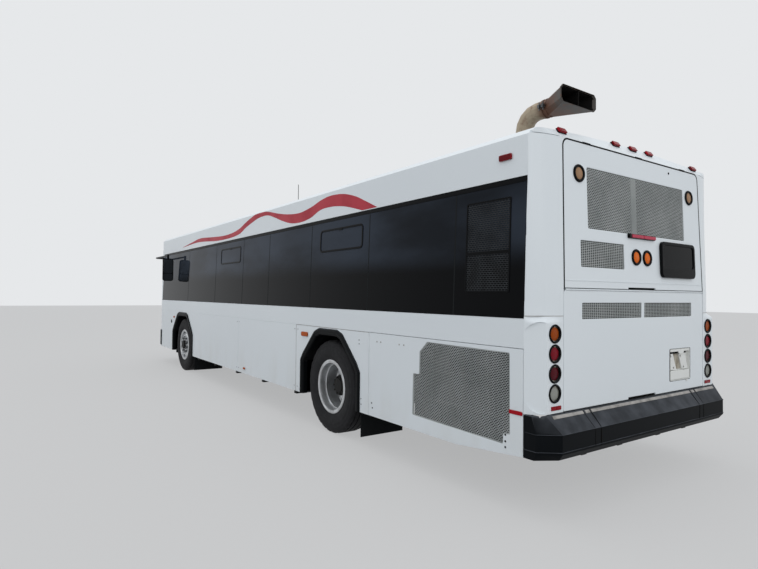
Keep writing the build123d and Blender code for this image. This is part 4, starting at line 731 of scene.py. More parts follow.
for node, material, edge in (
    ("side_wall_left", white_paint, 0.001), ("side_wall_right", white_paint, 0.001),
    ("roof_shell", white_paint, 0), ("front_cap", white_paint, 0),
    ("window_frames", black_primer, 0), ("side_glass", side_pane, 0), ("front_glass", windscreen_pane, 0),
    ("rear_bumper", bumper_skin, 0.006), ("front_bumper", bumper_skin, 0.008),
    ("mud_flaps", flap_rubber, 0.002), ("exhaust_stack", exhaust_metal, 0.003),
    ("roof_fittings", hard_plastic, 0.004), ("front_wheel_left", wheel_alloy, 0.002),
    ("front_wheel_right", wheel_alloy, 0.002), ("rear_wheels_left", wheel_alloy, 0.002),
    ("rear_wheels_right", wheel_alloy, 0.002), ("floor_deck", floor_vinyl, 0),
    ("raised_deck", floor_vinyl, 0), ("engine_bulkhead", black_primer, 0),
    ("underframe", chassis_paint, 0.002), ("rear_frame", chassis_paint, 0.002),
    ("engine_block", cast_paint, 0.01), ("radiator", radiator_fins, 0.002),
    ("rear_axle", cast_paint, 0.004), ("front_axle", cast_paint, 0.004),
    ("knuckle_left", cast_paint, 0.003), ("knuckle_right", cast_paint, 0.003),
    ("track_rod", cast_paint, 0.002), ("handrails", rail_steel, 0),
    ("dashboard", seat_shell_plastic, 0.006),
    ("front_door_arm_front", hard_plastic, 0.001), ("front_door_arm_rear", hard_plastic, 0.001),
    ("front_door_leaf_front", hard_plastic, 0.002), ("front_door_leaf_rear", hard_plastic, 0.002),
    ("rear_door_leaf_front", hard_plastic, 0.002), ("rear_door_leaf_rear", hard_plastic, 0.002),
    ("front_door_glass_front", door_pane, 0), ("front_door_glass_rear", door_pane, 0),
    ("rear_door_glass_front", door_pane, 0), ("rear_door_glass_rear", door_pane, 0),
):
    dress(node, material, edge)


# Rear face: the same planes as the part's engine door and hatch

HATCH_FOOT_Z, HATCH_TOP_Z = 1.545, 2.603
HATCH_LEAN_X = 0.036
hatch_length = HATCH_TOP_Z - HATCH_FOOT_Z
hatch_lean = math.atan2(HATCH_LEAN_X, hatch_length)
HEADER_FOOT_Z, HEADER_TOP_Z = 2.605, 2.700
# The header over the hatch leans this far ahead over this rise
HEADER_LEAN_X, HEADER_RISE = 0.069, 0.095
CORNER_RADIUS = 0.100
door_low_z, door_top_z = 0.694, 1.524
DOOR_HALF = 1.006
DOOR_THICK = 0.042
MESH_PITCH = (0.024, 0.012)
MESH_STRAND = 0.0043
MESH_DEPTH = 0.002
rear_flat = rear_place()
hatch_plane = rear_place(HATCH_FOOT_Z, hatch_lean)


def knuckles(shape, axis_points, direction, length=0.09, radius=0.006):
    """Barrels of a hinge along one line."""
    for point in axis_points:
        half = Vector(direction) * length / 2
        shape.tube([Vector(point) - half, Vector(point) + half], radius, 16)


def engine_door():
    """Lower rear door: two mesh grilles and a recess for a blank plate."""
    plate_u, plate_v = (-0.773, -0.425), (0.782, 1.048)
    grilles = ((0.012, 0.794), (-0.799, -0.030))
    grille_v = (1.323, 1.441)
    notch_v = door_low_z + 0.016
    outline = rounded([
        (-DOOR_HALF, door_low_z), (-0.2, door_low_z), (-0.2, notch_v), (0.2, notch_v), (0.2, door_low_z),
        (DOOR_HALF, door_low_z), (DOOR_HALF, door_top_z), (-DOOR_HALF, door_top_z),
    ], [0.012, 0.002, 0.004, 0.004, 0.002, 0.012, 0.012, 0.012])
    openings = [round_box(u, grille_v, 0.008) for u in grilles]
    openings.append(round_box(plate_u, plate_v, 0.012))
    skin = Shape().sheet([outline, *openings], -0.012, 0, rear_flat, 0.003)
    hollows = [round_box((-0.95, 0.95), v, 0.02) for v in ((0.75, 1.30), (1.315, 1.45))]
    skin.sheet([outline, *hollows], -DOOR_THICK, -0.0121, rear_flat)
    # Long hinge in short knuckles along the top edge, on a leaf that is bent out of the panel
    hinge_z = (door_top_z + HATCH_FOOT_Z) / 2
    hinge_points = [(rear_face_x, 0.06 * step, hinge_z) for step in range(-16, 17)]
    knuckles(skin, hinge_points, (0, 1, 0), 0.058, 0.0058)
    skin.block((-0.99, 0.99), (door_top_z - 0.004, hinge_z), (-0.006, -0.003), rear_flat)
    piece("engine_door_panel", skin, white_paint, "engine_door", ["engine_door"])

    sheet = Shape()
    inset = moved(rear_flat, 0, 0, -0.004)
    for grille in grilles:
        sheet.bars((grille, grille_v), MESH_PITCH, MESH_STRAND, MESH_DEPTH, inset)
    piece("engine_door_mesh", sheet, mesh_coat, "engine_door")

    # Painted shade: black sheets behind the two grilles, and a black pocket behind the notch at the foot
    shadow = Shape()
    for grille in grilles:
        shadow.block(grown(grille, 0.01), grown(grille_v, 0.01), (-0.04, -0.036), rear_flat)
    shadow.block((-0.21, 0.21), (door_low_z - 0.001, notch_v + 0.006), (-0.024, -0.0125), rear_flat)
    piece("engine_door_painted_shade", shadow, soot_seam_and_painted_shade_black, "engine_door")

    # Recess with a pressed bracket: two folds, two slanted ribs, four holes, a knob and a small catch
    pan = Shape()
    pan_u, pan_v = grown(plate_u, 0.001), grown(plate_v, 0.001)
    outer = round_box(pan_u, pan_v, 0.013)
    inner = round_box(grown(plate_u, -0.004), grown(plate_v, -0.004), 0.010)
    pan.sheet([outer, inner], -0.028, -0.001, rear_flat, 0.001)
    hole_spots = [(-0.464, 0.988), (-0.628, 0.982), (-0.513, 0.886), (-0.683, 0.886)]
    holes = {spot: ellipse(spot, (0.011, 0.011), 16) for spot in hole_spots}
    pan.sheet([outer, *holes.values()], -0.030, -0.0265, rear_flat)
    fold_u = grown(plate_u, -0.006)
    low_fold = round_box(fold_u, (plate_v[0] + 0.006, 0.862), 0.008)
    high_fold = round_box(fold_u, (1.024, plate_v[1] - 0.004), 0.006)
    pan.sheet([low_fold], -0.026, -0.004, rear_flat, 0.003)
    pan.sheet([high_fold], -0.026, -0.003, rear_flat, 0.003)
    for foot, head in (((-0.561, -0.462), (-0.500, -0.445)), ((-0.762, -0.655), (-0.700, -0.597))):
        rib = [(foot[0], 0.870), (foot[1], 0.870), (head[1], 1.012), (head[0], 1.012)]
        end = max(foot[1], head[1])
        through = [hole for spot, hole in holes.items() if foot[0] < spot[0] < end]
        pan.sheet([rounded(rib, 0.005, 3), *through], -0.026, -0.012, rear_flat, 0.002)
    piece("plate_bracket", pan, plate_steel, "engine_door")
    ribs = Shape()
    rib = [(-0.652, 0.873), (-0.565, 0.873), (-0.504, 1.014), (-0.594, 1.014)]
    ribs.sheet([rounded(rib, 0.004, 3)], -0.0262, -0.023, rear_flat, 0.001)
    piece("plate_slanted_rib", ribs, rib_paint, "engine_door")
    # Painted shade: a black back seen through the four holes, and two black strips of painted shadow
    # under the top fold; also the dark seam round the recess and a dark strip down one side
    dark = Shape().sheet([inner], -0.0335, -0.0305, rear_flat)
    seam = [round_box(grown(pan_u, out), grown(pan_v, out), 0.013) for out in (0.003, 0.0)]
    dark.sheet(seam, -0.002, 0.0006, rear_flat)
    dark.block((plate_u[1] - 0.010, plate_u[1] + 0.002), plate_v, (-0.004, -0.0006), rear_flat)
    for low, high in ((-0.600, -0.440), (-0.720, -0.655)):
        dark.block((low, high), (1.008, 1.0245), (-0.0262, -0.010), rear_flat)
    piece("plate_recess_shade_and_seam", dark, soot_seam_and_painted_shade_black, "engine_door")
    knob = Shape()
    knob.sheet([ellipse((-0.622, 1.022), (0.046, 0.022), 28)], -0.0095, 0.0005, rear_flat, 0.003)
    catch_u = (plate_u[0] + 0.050, plate_u[0] + 0.078)
    catch_v = (plate_v[0] - 0.016, plate_v[0] - 0.004)
    knob.sheet([round_box(catch_u, catch_v, 0.003)], 0.0002, 0.006, rear_flat, 0.002)
    piece("plate_knob", knob, plate_steel, "engine_door")


def upper_hatch():
    """Leaning hatch: one wide mesh grille, a small one, a stepped foot trim and its lamps."""
    bottom_half, top_half = 1.004, 0.979
    corners = [
        (-bottom_half, 0.0), (-0.2, 0.0), (-0.2, 0.014), (0.2, 0.014), (0.2, 0.0), (bottom_half, 0.0),
        (top_half, hatch_length), (-top_half, hatch_length),
    ]
    outline = rounded(corners, [0.008, 0.002, 0.004, 0.004, 0.002, 0.008, 0.060, 0.060], 10)
    big_u, big_v = (-0.705, 0.705), (0.435, 0.885)
    small_u, small_v = (0.246, 0.800), (0.152, 0.346)
    big = round_box(big_u, big_v, 0.015)
    small = round_box(small_u, small_v, 0.012)
    skin = Shape().sheet([outline, big, small], -0.012, 0, hatch_plane, 0.003)
    rear_rim = rounded([(-0.95, 0.06), (0.95, 0.06), (0.93, 1.0), (-0.93, 1.0)], 0.06)
    skin.sheet([outline, rear_rim], -DOOR_THICK, -0.0121, hatch_plane)
    # Stepped trim along the foot
    foot = rectangle(grown((-bottom_half, bottom_half), -0.02), (0.052, 0.056))
    skin.sheet([foot], 0.0001, 0.003, hatch_plane)
    piece("hatch_panel", skin, white_paint, "rear_hatch", ["rear_hatch"])

    def ring_at(out, corner):
        """Outline of the hatch, grown by a distance."""
        return rounded([
            (-bottom_half - out, -0.001), (bottom_half + out, -0.001),
            (top_half + out, hatch_length + out), (-top_half - out, hatch_length + out),
        ], [0.006, 0.006, corner, corner], 10)

    # Rubber seal that shows as a dark line round the hatch, with the three hinges at its top
    seal = Shape().sheet([ring_at(0.0025, 0.0625), ring_at(-0.0075, 0.0525)], -0.004, 0.0014, hatch_plane)
    knuckles(seal, [(ahead(HATCH_LEAN_X), y, HATCH_TOP_Z + 0.0015) for y in (-0.7, 0, 0.7)], (0, 1, 0))
    piece("hatch_seal", seal, hard_plastic, "rear_hatch")
    # Body panel between the seal and the posts, in the plane of the hatch
    surround = Shape()
    edge = [(u, v) for u, v in ring_at(0.0050, 0.0650) if u > 0.7]
    edge[0] = (edge[0][0], 0.004)
    top = max(v for u, v in edge)
    for side in (LEFT, RIGHT):
        outline = [(side * u, v) for u, v in edge + [(1.0125, top), (1.0125, 0.004)]]
        surround.sheet([outline], -0.012, 0.0, hatch_plane)
    piece("hatch_surround", surround, white_paint, "body")

    inset = moved(hatch_plane, 0, 0, -0.004)
    sheet = Shape()
    sheet.bars((big_u, big_v), MESH_PITCH, MESH_STRAND, MESH_DEPTH, inset, staggered=True)
    sheet.bars((small_u, small_v), MESH_PITCH, MESH_STRAND, MESH_DEPTH, inset)
    piece("hatch_mesh", sheet, mesh_coat, "rear_hatch")
    brace = Shape()
    brace.block((0.03, 0.10), big_v, (-0.020, -0.014), hatch_plane)
    piece("hatch_mesh_brace", brace, mesh_coat, "rear_hatch")
    # Painted shade: black sheets behind both grilles, and a black pocket behind the notch at the foot
    shadow = Shape()
    for u, v in ((big_u, big_v), (small_u, small_v)):
        shadow.block(grown(u, 0.012), grown(v, 0.012), (-0.040, -0.036), hatch_plane)
    shadow.block((-0.21, 0.21), (0.001, 0.020), (-0.024, -0.0125), hatch_plane)
    piece("hatch_painted_shade", shadow, soot_seam_and_painted_shade_black, "rear_hatch")

    # Blank destination sign: a rounded box with a recessed screen over a plain band
    sign_u, sign_v = (-0.836, -0.274), (0.104, 0.403)
    outer = round_box(sign_u, sign_v, 0.045, 8)
    screen_v = (sign_v[0] + 0.085, sign_v[1] - 0.028)
    screen = round_box(grown(sign_u, -0.028), screen_v, 0.03, 8)
    box_shape = Shape().sheet([outer, screen], 0.0003, 0.026, hatch_plane, 0.005)
    piece("sign_box", box_shape, hard_plastic, "rear_hatch", ["rear_sign"])
    face = Shape().sheet([screen], 0.0003, 0.018, hatch_plane)
    piece("sign_screen_pane", face, sign_screen, "rear_hatch")

    # Round lamps: a bezel and a domed lens each
    bezels, bright, pale = Shape(), Shape(), Shape()
    bezel_profile = [
        (0.0435, 0.0003), (0.0650, 0.0003), (0.0650, 0.0060),
        (0.0600, 0.0125), (0.0520, 0.0130), (0.0435, 0.0050),
    ]
    dome_profile = [
        (0.0, 0.0004), (0.0450, 0.0004), (0.0450, 0.0035),
        (0.0360, 0.0070), (0.0200, 0.0095), (0.0, 0.0100),
    ]
    for u, v, target in (
        (-0.08, 0.254, bright), (0.08, 0.254, bright), (-0.803, 0.825, pale), (0.803, 0.825, pale),
    ):
        seat = moved(hatch_plane, u, v)
        bezels.lathe(bezel_profile, seat, 48, False)
        target.lathe(dome_profile, seat, 48)
    piece("hatch_lamp_bezels", bezels, hard_plastic, "rear_hatch")
    piece("hatch_low_ambers", bright, low_amber_lens, "rear_hatch", ["hatch_amber_lamps"])
    piece("hatch_high_ambers", pale, faded_lens, "rear_hatch")

    # Brake lamp: a long bar with two lit segments and a dark end
    bar_v = (0.405, 0.431)
    bar_box = round_box((-0.195, 0.195), grown(bar_v, 0.004), 0.008)
    housing = Shape().sheet([bar_box], 0.0003, 0.014, hatch_plane, 0.002)
    piece("brake_lamp_housing", housing, hard_plastic, "rear_hatch", ["brake_lamp"])
    segments = Shape()
    for low, high in ((-0.188, -0.012), (-0.004, 0.160)):
        segments.sheet([round_box((low, high), bar_v, 0.005)], 0.0141, 0.024, hatch_plane, 0.003)
    piece("brake_lamp_lens", segments, brake_lens, "rear_hatch")
    dark_box = round_box((0.168, 0.189), bar_v, 0.005)
    dark = Shape().sheet([dark_box], 0.0141, 0.022, hatch_plane, 0.003)
    piece("brake_lamp_dark_end", dark, dark_lens, "rear_hatch")
    button_profile = [(0.0, 0.0003), (0.009, 0.0003), (0.009, 0.004), (0.0, 0.006)]
    button = Shape().lathe(button_profile, moved(hatch_plane, -0.47, 1.0), 20)
    piece("hatch_stay_button", button, hard_plastic, "rear_hatch")


POD_Y = 1.102


def lamp_pods():
    """Four round lamps on each pod in thick rubber grommets, with reflectors under them."""
    grommet_profile = [
        (0.0490, -0.018), (0.0492, -0.002), (0.0510, 0.0045), (0.0560, 0.0085),
        (0.0620, 0.0070), (0.0655, 0.0015), (0.0640, -0.003), (0.0600, -0.018),
    ]
    rim_profile = [(0.0465, -0.009), (0.0465, -0.0045), (0.0492, -0.0045), (0.0492, -0.009)]
    lens_profile = [
        (0.0, -0.016), (0.0470, -0.016), (0.0470, -0.0080), (0.0440, -0.0050),
        (0.0340, -0.0022), (0.0200, -0.0008), (0.0, -0.0002),
    ]
    grommets, rims = Shape(), Shape()
    for kind, height, finish, slot in (
        ("amber", 1.229, amber_lens, "amber_lens"), ("red", 1.094, tail_lens, "red_lens"),
        ("deep_red", 0.959, deep_red_lens, "red_lens"), ("clear", 0.825, clear_lens, "clear_lens"),
    ):
        lenses = Shape()
        for side in (LEFT, RIGHT):
            seat = moved(rear_flat, side * POD_Y, height)
            grommets.lathe(grommet_profile, seat, 56, False)
            rims.lathe(rim_profile, seat, 48, False)
            lenses.lathe(lens_profile, seat, 48)
        piece(f"pod_{kind}_lenses", lenses, finish, "body")
    piece("pod_grommets", grommets, flare_rubber, "body", ["lamp_grommets"])
    piece("pod_lens_rims", rims, chrome_rim, "body")
    markers, bases = Shape(), Shape()
    for side in (LEFT, RIGHT):
        for outer, inner in ((1.142, 1.091), (1.090, 1.039)):
            u = sorted((side * outer, side * inner))
            reflector = round_box(u, (0.713, 0.741), 0.004)
            markers.sheet([reflector], 0.0002, 0.007, rear_flat, 0.002)
    # Five markers on the header: the outer two are level with its middle, the other three above it
    header_lean = math.atan2(HEADER_LEAN_X, HEADER_RISE)
    header_z = (HEADER_FOOT_Z + HEADER_TOP_Z) / 2
    header = rear_place(header_z, header_lean, (HATCH_LEAN_X + SEAM_AHEAD) / 2)
    for u, v in ((-0.953, 0), (-0.245, 0.036), (0, 0.036), (0.245, 0.036), (0.953, 0)):
        marker = round_box(around(u, 0.042), around(v, 0.020), 0.004)
        base = round_box((u - 0.047, u + 0.046), (v - 0.023, v + 0.022), 0.005)
        markers.sheet([marker], 0.006, 0.022, header, 0.003)
        bases.sheet([base], 0.0005, 0.0065, header, 0.001)
    piece("rear_markers", markers, red_lens, "body")
    piece("rear_marker_bases", bases, hard_plastic, "body")


POD_TOP_Z = 1.338
# The posts begin this far from the middle, and bend over this rise from this depth under the pods' top
POST_INNER = 1.010
BEND_DEPTH, BEND_RISE = 0.036, 0.045


def post_half_width(z):
    """Outer half width of the rear posts, which lean inwards with the windows."""
    if z < sill_z:
        return half_width
    return half_width - 0.030 * min(1.0, (z - sill_z) / (2.31 - sill_z))


def post_depth(y, z):
    """How far ahead of the flat rear face the skin of a post lies above the pods."""
    reach = post_half_width(z) - 0.004
    part = min(max((abs(y) - POST_INNER) / (reach - POST_INNER), 0.0), 1.0)
    lean = HATCH_LEAN_X * min(max((z - HATCH_FOOT_Z) / hatch_length, 0.0), 1.0)
    return lean + (SEAM_AHEAD - lean) * (1 - (1 - part ** 1.35) ** (1 / 1.35))


def rear_posts():
    """Rear cap whose posts lean with the hatch above the pods and round off into the sides."""
    work = bmesh.new()
    work.from_mesh(nodes["rear_cap"].data)
    bmesh.ops.triangulate(work, faces=work.faces)
    # Level and upright cuts that let the skin bend
    levels = [POD_TOP_Z + step * 0.009 for step in (-4, -3, -2, -1, 0, 1)]
    levels += [1.45, HATCH_FOOT_Z, 1.9, 2.25, 2.6]
    cuts = [((0, 0, 1), (0, 0, z)) for z in levels]
    for side in (LEFT, RIGHT):
        cuts += [((0, 1, 0), (0, side * (1.012 + step * 0.018), 0)) for step in range(16)]
    for normal, point in cuts:
        parts = work.verts[:] + work.edges[:] + work.faces[:]
        bmesh.ops.bisect_plane(work, geom=parts, plane_co=point, plane_no=normal, dist=0.00001)
    for vertex in work.verts:
        x, y, z = vertex.co
        depth = x - rear_face_x
        if abs(y) < POST_INNER - 0.0015 or z < POD_TOP_Z - BEND_DEPTH - 0.001 or depth > SEAM_AHEAD:
            continue
        # Present depth of the skin at this place: flat, then a corner, and the leaning header above
        corner = max(0.0, abs(y) - (post_half_width(z) - CORNER_RADIUS))
        turned = CORNER_RADIUS - math.sqrt(max(0.0, CORNER_RADIUS ** 2 - corner ** 2))
        flat = 0.0
        if z > HEADER_FOOT_Z - 0.0005:
            flat = max(0.0, (z - HEADER_FOOT_Z) * HEADER_LEAN_X / HEADER_RISE + HATCH_LEAN_X)
        now = min(max(flat, turned), SEAM_AHEAD - 0.003)
        wanted = max(post_depth(y, z), now)
        inside = min(max((depth - now) / (SEAM_AHEAD - now), 0.0), 1.0)
        share = smooth_step((z - (POD_TOP_Z - BEND_DEPTH)) / BEND_RISE)
        vertex.co.x += share * (rear_face_x + wanted + inside * (SEAM_AHEAD - wanted) - x)
    shape = Shape()
    shape.points = [vertex.co.copy() for vertex in work.verts]
    work.verts.index_update()
    shape.faces = [[vertex.index for vertex in face.verts] for face in work.faces]
    work.free()
    piece("rear_cap_skin", shape, white_paint, "body", ["rear_cap"], crease=30)
    # Joint between the pod and the post
    joint = Shape()
    joint_z = POD_TOP_Z + 0.012
    strip = ((0.004, 0.002), (-0.0012, 0.002), (-0.0012, -0.002), (0.004, -0.002))
    for side in (LEFT, RIGHT):
        rings = []
        for step in range(19):
            y = 1.013 + (half_width - 0.004 - 1.013) * step / 18
            x = ahead(post_depth(y, joint_z))
            rings.append([(x + dx, side * y, joint_z + dz) for dx, dz in strip])
        joint.loft(rings)
    piece("pod_joint", joint, ledge_trim, "body")


def rear_bumper_trim():
    """Grey ledge over the slope, the ribs that run round the bumper, and the seams of its sections."""
    # Directions down the slope and out of it
    slope_down, slope_out = Vector((-0.667, 0, -0.745)), Vector((-0.745, 0, 0.667))

    def on_slope(y, along, lift):
        """Point at these distances from the top edge of the slope."""
        return Vector((ahead(-0.002), y, 0.688)) + slope_down * along + slope_out * lift

    ledge, gap = Shape(), Shape()
    ledge_profile = ((0.014, -0.003), (0.014, 0.0075), (0.036, 0.0065), (0.040, -0.003))
    for ends in ((-1.150, -0.815), (-0.790, -0.740), (-0.718, 0.718), (0.740, 0.790), (0.815, 1.150)):
        ledge.loft([[on_slope(y, along, lift) for along, lift in ledge_profile] for y in ends])
    piece("bumper_ledge", ledge, ledge_trim, "body")
    # Black strip of painted shadow in the gap between the rear face and the top of the slope
    gap.loft([[
        (ahead(0.012), y, 0.6925), (ahead(-0.0025), y, 0.6925), tuple(on_slope(y, 0.014, 0.0015)),
        tuple(on_slope(y, 0.014, -0.004)), (ahead(0.012), y, 0.676),
    ] for y in (-1.14, 1.14)])
    piece("bumper_gap_shadow", gap, flare_rubber, "body")
    # Two narrow ribs run round the bumper, one at its foot and one under the slope
    lip = Shape()
    corner = 1.159
    path = [
        (ahead(0.10), half_width), (ahead(0.0), half_width), (ahead(-0.105), corner),
        (ahead(-0.105), -corner), (ahead(0.0), -half_width), (ahead(0.10), -half_width),
    ]
    for heights, stands in (((0.452, 0.462), 0.0035), ((0.568, 0.576), 0.003)):
        middle = sum(heights) / 2
        low, high = heights[0] - middle, heights[1] - middle
        for (x0, y0), (x1, y1) in zip(path, path[1:]):
            along = Vector((x1 - x0, y1 - y0, 0)).normalized()
            outward = Vector((along.y, -along.x, 0))
            if outward.dot(Vector(((x0 + x1) / 2 - ahead(1.0), (y0 + y1) / 2, 0))) < 0:
                outward = -outward
            ring = ((low, -0.002), (low * 0.4, stands), (high * 0.4, stands), (high, -0.002))
            lip.loft([
                [Vector((x, y, middle)) + Vector((0, 0, up)) + outward * d for up, d in ring]
                for x, y in ((x0, y0), (x1, y1))
            ])
    piece("bumper_lip", lip, bumper_skin, "body")
    seams = Shape()
    for side in (LEFT, RIGHT):
        for (y0, z0, x0), (y1, z1, x1) in (
            ((0.738, 0.690, -0.008), (0.720, 0.573, -0.105)),
            ((0.720, 0.573, -0.105), (0.718, 0.452, -0.105)),
            ((0.812, 0.690, -0.008), (0.792, 0.573, -0.105)),
            ((0.792, 0.573, -0.105), (0.790, 0.452, -0.105)),
        ):
            a, b = Vector((ahead(x0), side * y0, z0)), Vector((ahead(x1), side * y1, z1))
            out = Vector((z1 - z0, 0, x1 - x0)).normalized() * 0.0012
            across = Vector((0, 0.0028, 0))
            seams.loft([
                [p - across - out, p + across - out, p + across + out, p - across + out] for p in (a, b)
            ])
    piece("bumper_seams", seams, soot_seam_and_painted_shade_black, "body")
    fittings = Shape()
    for y in (-0.62, -0.2, 0.35, 0.8):
        fittings.block((ahead(-0.02), ahead(0.06)), around(y, 0.03), (0.372, 0.402))
        fittings.tube([(ahead(0.0), y, 0.385), (ahead(0.09), y, 0.385)], 0.012, 12)
    piece("bumper_fittings", fittings, chassis_paint, "body")


def follow(path, profile, place, closed=False):
    """Strip along a flat path: each profile point is a distance in from the path and a height."""
    points = [Vector(point) for point in path]
    rings = []
    for i, point in enumerate(points):
        before = points[i - 1] if i else (points[-1] if closed else points[0])
        after = points[(i + 1) % len(points)] if i < len(points) - 1 or closed else points[-1]
        first, second = (point - before), (after - point)
        first = first.normalized() if first.length > 1e-9 else second.normalized()
        second = second.normalized() if second.length > 1e-9 else first
        along = (first + second).normalized()
        inward = Vector((along.y, -along.x))
        stretch = 1 / max(0.5, inward.dot(Vector((first.y, -first.x))))
        rings.append([tuple(point + inward * d * stretch) + (h,) for d, h in profile])
    if closed:
        rings.append(rings[0])
    return Shape().loft(rings, caps=not closed, place=place)


# Each arch: its axle, and how far its corners lie from it at the foot, shoulder, slope and top
ARCHES = ((rear_axle_x, 0.630, 0.568, 0.297, 0.192), (front_axle_x, 0.680, 0.615, 0.345, 0.243))


def flares():
    """Black rubber flare round each arch: a rounded outer band, a groove and a return into the arch."""
    profile = [
        (-0.004, -0.004), (-0.004, 0.004), (0.002, 0.012), (0.012, 0.0175), (0.028, 0.0178),
        (0.040, 0.0165), (0.0445, 0.0125), (0.0475, 0.0125), (0.052, 0.0140), (0.062, 0.0110),
        (0.068, 0.002), (0.070, -0.012), (0.070, -0.048), (0.060, -0.048),
    ]
    made = {}
    for name, side in SIDES:
        shape = Shape()
        place = side_place(side, half_width)
        for axle, half, corner, slope, top in ARCHES:
            right = [(half, skirt_z), (half, 0.725), (corner, 0.810), (slope, 1.074), (top, 1.110)]
            outline = [(axle - x, z) for x, z in right] + [(axle + x, z) for x, z in reversed(right)]
            smooth = rounded(outline, [0, 0.06, 0.07, 0.09, 0.07] + [0.07, 0.09, 0.07, 0.06, 0], 8)
            part = follow(smooth, profile, place)
            shape.add(part.points, part.faces)
        made[name] = shape
    piece("flares_left", made["left"], flare_rubber, "body", ["arch_trims"], crease=50)
    piece("flares_right", made["right"], flare_rubber, "body", crease=50)
    liners = Shape()
    inset = 0.062
    for side in (LEFT, RIGHT):
        for axle, half, corner, slope, top in ARCHES:
            edge = [
                (half - inset, 0.36), (half - inset, 0.72), (corner - inset, 0.79),
                (slope - 0.03, 1.02), (top - 0.01, 1.05),
            ]
            outline = [(axle - x, z) for x, z in edge] + [(axle + x, z) for x, z in reversed(edge)]
            outline += [(x, z + 0.006) for x, z in reversed(outline)]
            depths = (half_width - 0.05, half_width - 0.20)
            liners.loft([[(x, side * y, z) for x, z in outline] for y in depths])
    piece("arch_liners", liners, black_primer, "body")


def wheel_place(axle_x, side, y):
    """Wheel's own frame: the third axis runs outwards along the axle."""
    axes = ((0, 0, 1), (1, 0, 0)) if side == LEFT else ((1, 0, 0), (0, 0, 1))
    return frame_of((axle_x, side * y, tyre_radius), *axes)


def tyre_shape(place, shape, sides=144):
    """Tyre with bead, stepped sidewall, shoulder lugs and four grooves round the tread."""
    outer = [
        (0.274, 0.112), (0.283, 0.118), (0.292, 0.1205), (0.300, 0.1190), (0.306, 0.1225),
        (0.330, 0.1320), (0.362, 0.1385), (0.392, 0.1398), (0.4005, 0.1398), (0.4030, 0.1378),
        (0.430, 0.1352), (0.4330, 0.1370), (0.4365, 0.1368), (0.4390, 0.1345), (0.462, 0.1290),
        (0.478, 0.1225), (0.488, 0.1120),
    ]
    tread = [
        (0.4930, 0.098), (0.4938, 0.088), (0.4815, 0.085), (0.4815, 0.076), (0.4942, 0.073),
        (0.4948, 0.039), (0.4820, 0.036), (0.4820, 0.026), (0.4950, 0.023),
    ]
    half = outer + tread
    profile = half + [(radius, -height) for radius, height in reversed(half)]
    rings = []
    for radius, height in profile:
        shoulder = abs(height) > 0.087 and radius > 0.470
        ring = []
        for i in range(sides):
            reach = radius - 0.007 if shoulder and i % 4 == 0 else radius
            angle = math.tau * i / sides
            ring.append((reach * math.cos(angle), reach * math.sin(angle), height))
        rings.append(ring)
    rings.append(rings[0])
    shape.loft(rings, caps=False, place=place)


NUT_CIRCLE = 0.143
FLANGE_CIRCLE = 0.090
OUTER_TYRE_Y, INNER_TYRE_Y, REAR_HUB_Y = 1.130, 0.790, 0.960


def bolt_seats(place, radius, first=0.0):
    """Ten frames on a circle round an axle."""
    turns = [math.tau * (i + first) / 10 for i in range(10)]
    return [moved(place, radius * math.cos(t), radius * math.sin(t)) for t in turns]


def front_hub(name, side, front):
    """Black flanged cap with a shallow recess, ten hand holes shown as dark discs of painted shade, and
    ten flange nuts with their studs.
    """
    hub, studs, bright, holes = Shape(), Shape(), Shape(), Shape()
    hub.lathe([
        (0.0, 0.104), (0.088, 0.104), (0.088, 0.112), (0.080, 0.119), (0.072, 0.121), (0.069, 0.138),
        (0.067, 0.1505), (0.061, 0.1540), (0.036, 0.1545), (0.034, 0.1515), (0.0, 0.1510),
    ], front, 48)
    hand_hole_shade_profile = [(0.0, 0.0006), (0.0185, 0.0006), (0.0185, 0.0022), (0.0, 0.0022)]
    for i in range(10):
        angle = math.radians(36 * i + (0 if side == LEFT else 18))
        out = Vector((math.cos(angle), math.sin(angle), 0))
        centre = out * 0.224 + Vector((0, 0, 0.0842))
        up_slope = Vector((0, 0, 1)) * 0.505 - out * 0.863
        turned = front @ frame_of(centre, (-out.y, out.x, 0), up_slope)
        # The dark disc of painted shade lies on the outer side of the dish on both sides of the bus
        if (turned.to_3x3() @ Vector((0, 0, 1))).y * side < 0:
            turned = turned @ Matrix.Rotation(math.pi, 4, "X")
        holes.lathe(hand_hole_shade_profile, turned, 24)
    piece(f"front_hand_hole_shade_{name}", holes, soot_seam_and_painted_shade_black, f"front_wheel_{name}")
    nut_profile = [
        (0.0, 0.103), (0.0225, 0.103), (0.0225, 0.109), (0.0175, 0.111),
        (0.0165, 0.129), (0.0135, 0.132), (0.0, 0.132),
    ]
    stud_profile = [(0.0, 0.130), (0.009, 0.130), (0.009, 0.1385), (0.007, 0.140), (0.0, 0.140)]
    for seat in bolt_seats(front, NUT_CIRCLE):
        studs.lathe(nut_profile, seat, 12)
        studs.lathe(stud_profile, seat, 12)
    bright.lathe([
        (0.264, 0.1200), (0.267, 0.1245), (0.273, 0.1262), (0.281, 0.1245),
        (0.2865, 0.1195), (0.2865, 0.113), (0.264, 0.113),
    ], front, 96, False)
    piece(f"front_hub_{name}", hub, hub_iron, f"front_wheel_{name}")
    piece(f"front_nuts_{name}", studs, fastener_zinc, f"front_wheel_{name}")
    piece(f"front_rim_edge_{name}", bright, wheel_alloy, f"front_wheel_{name}")


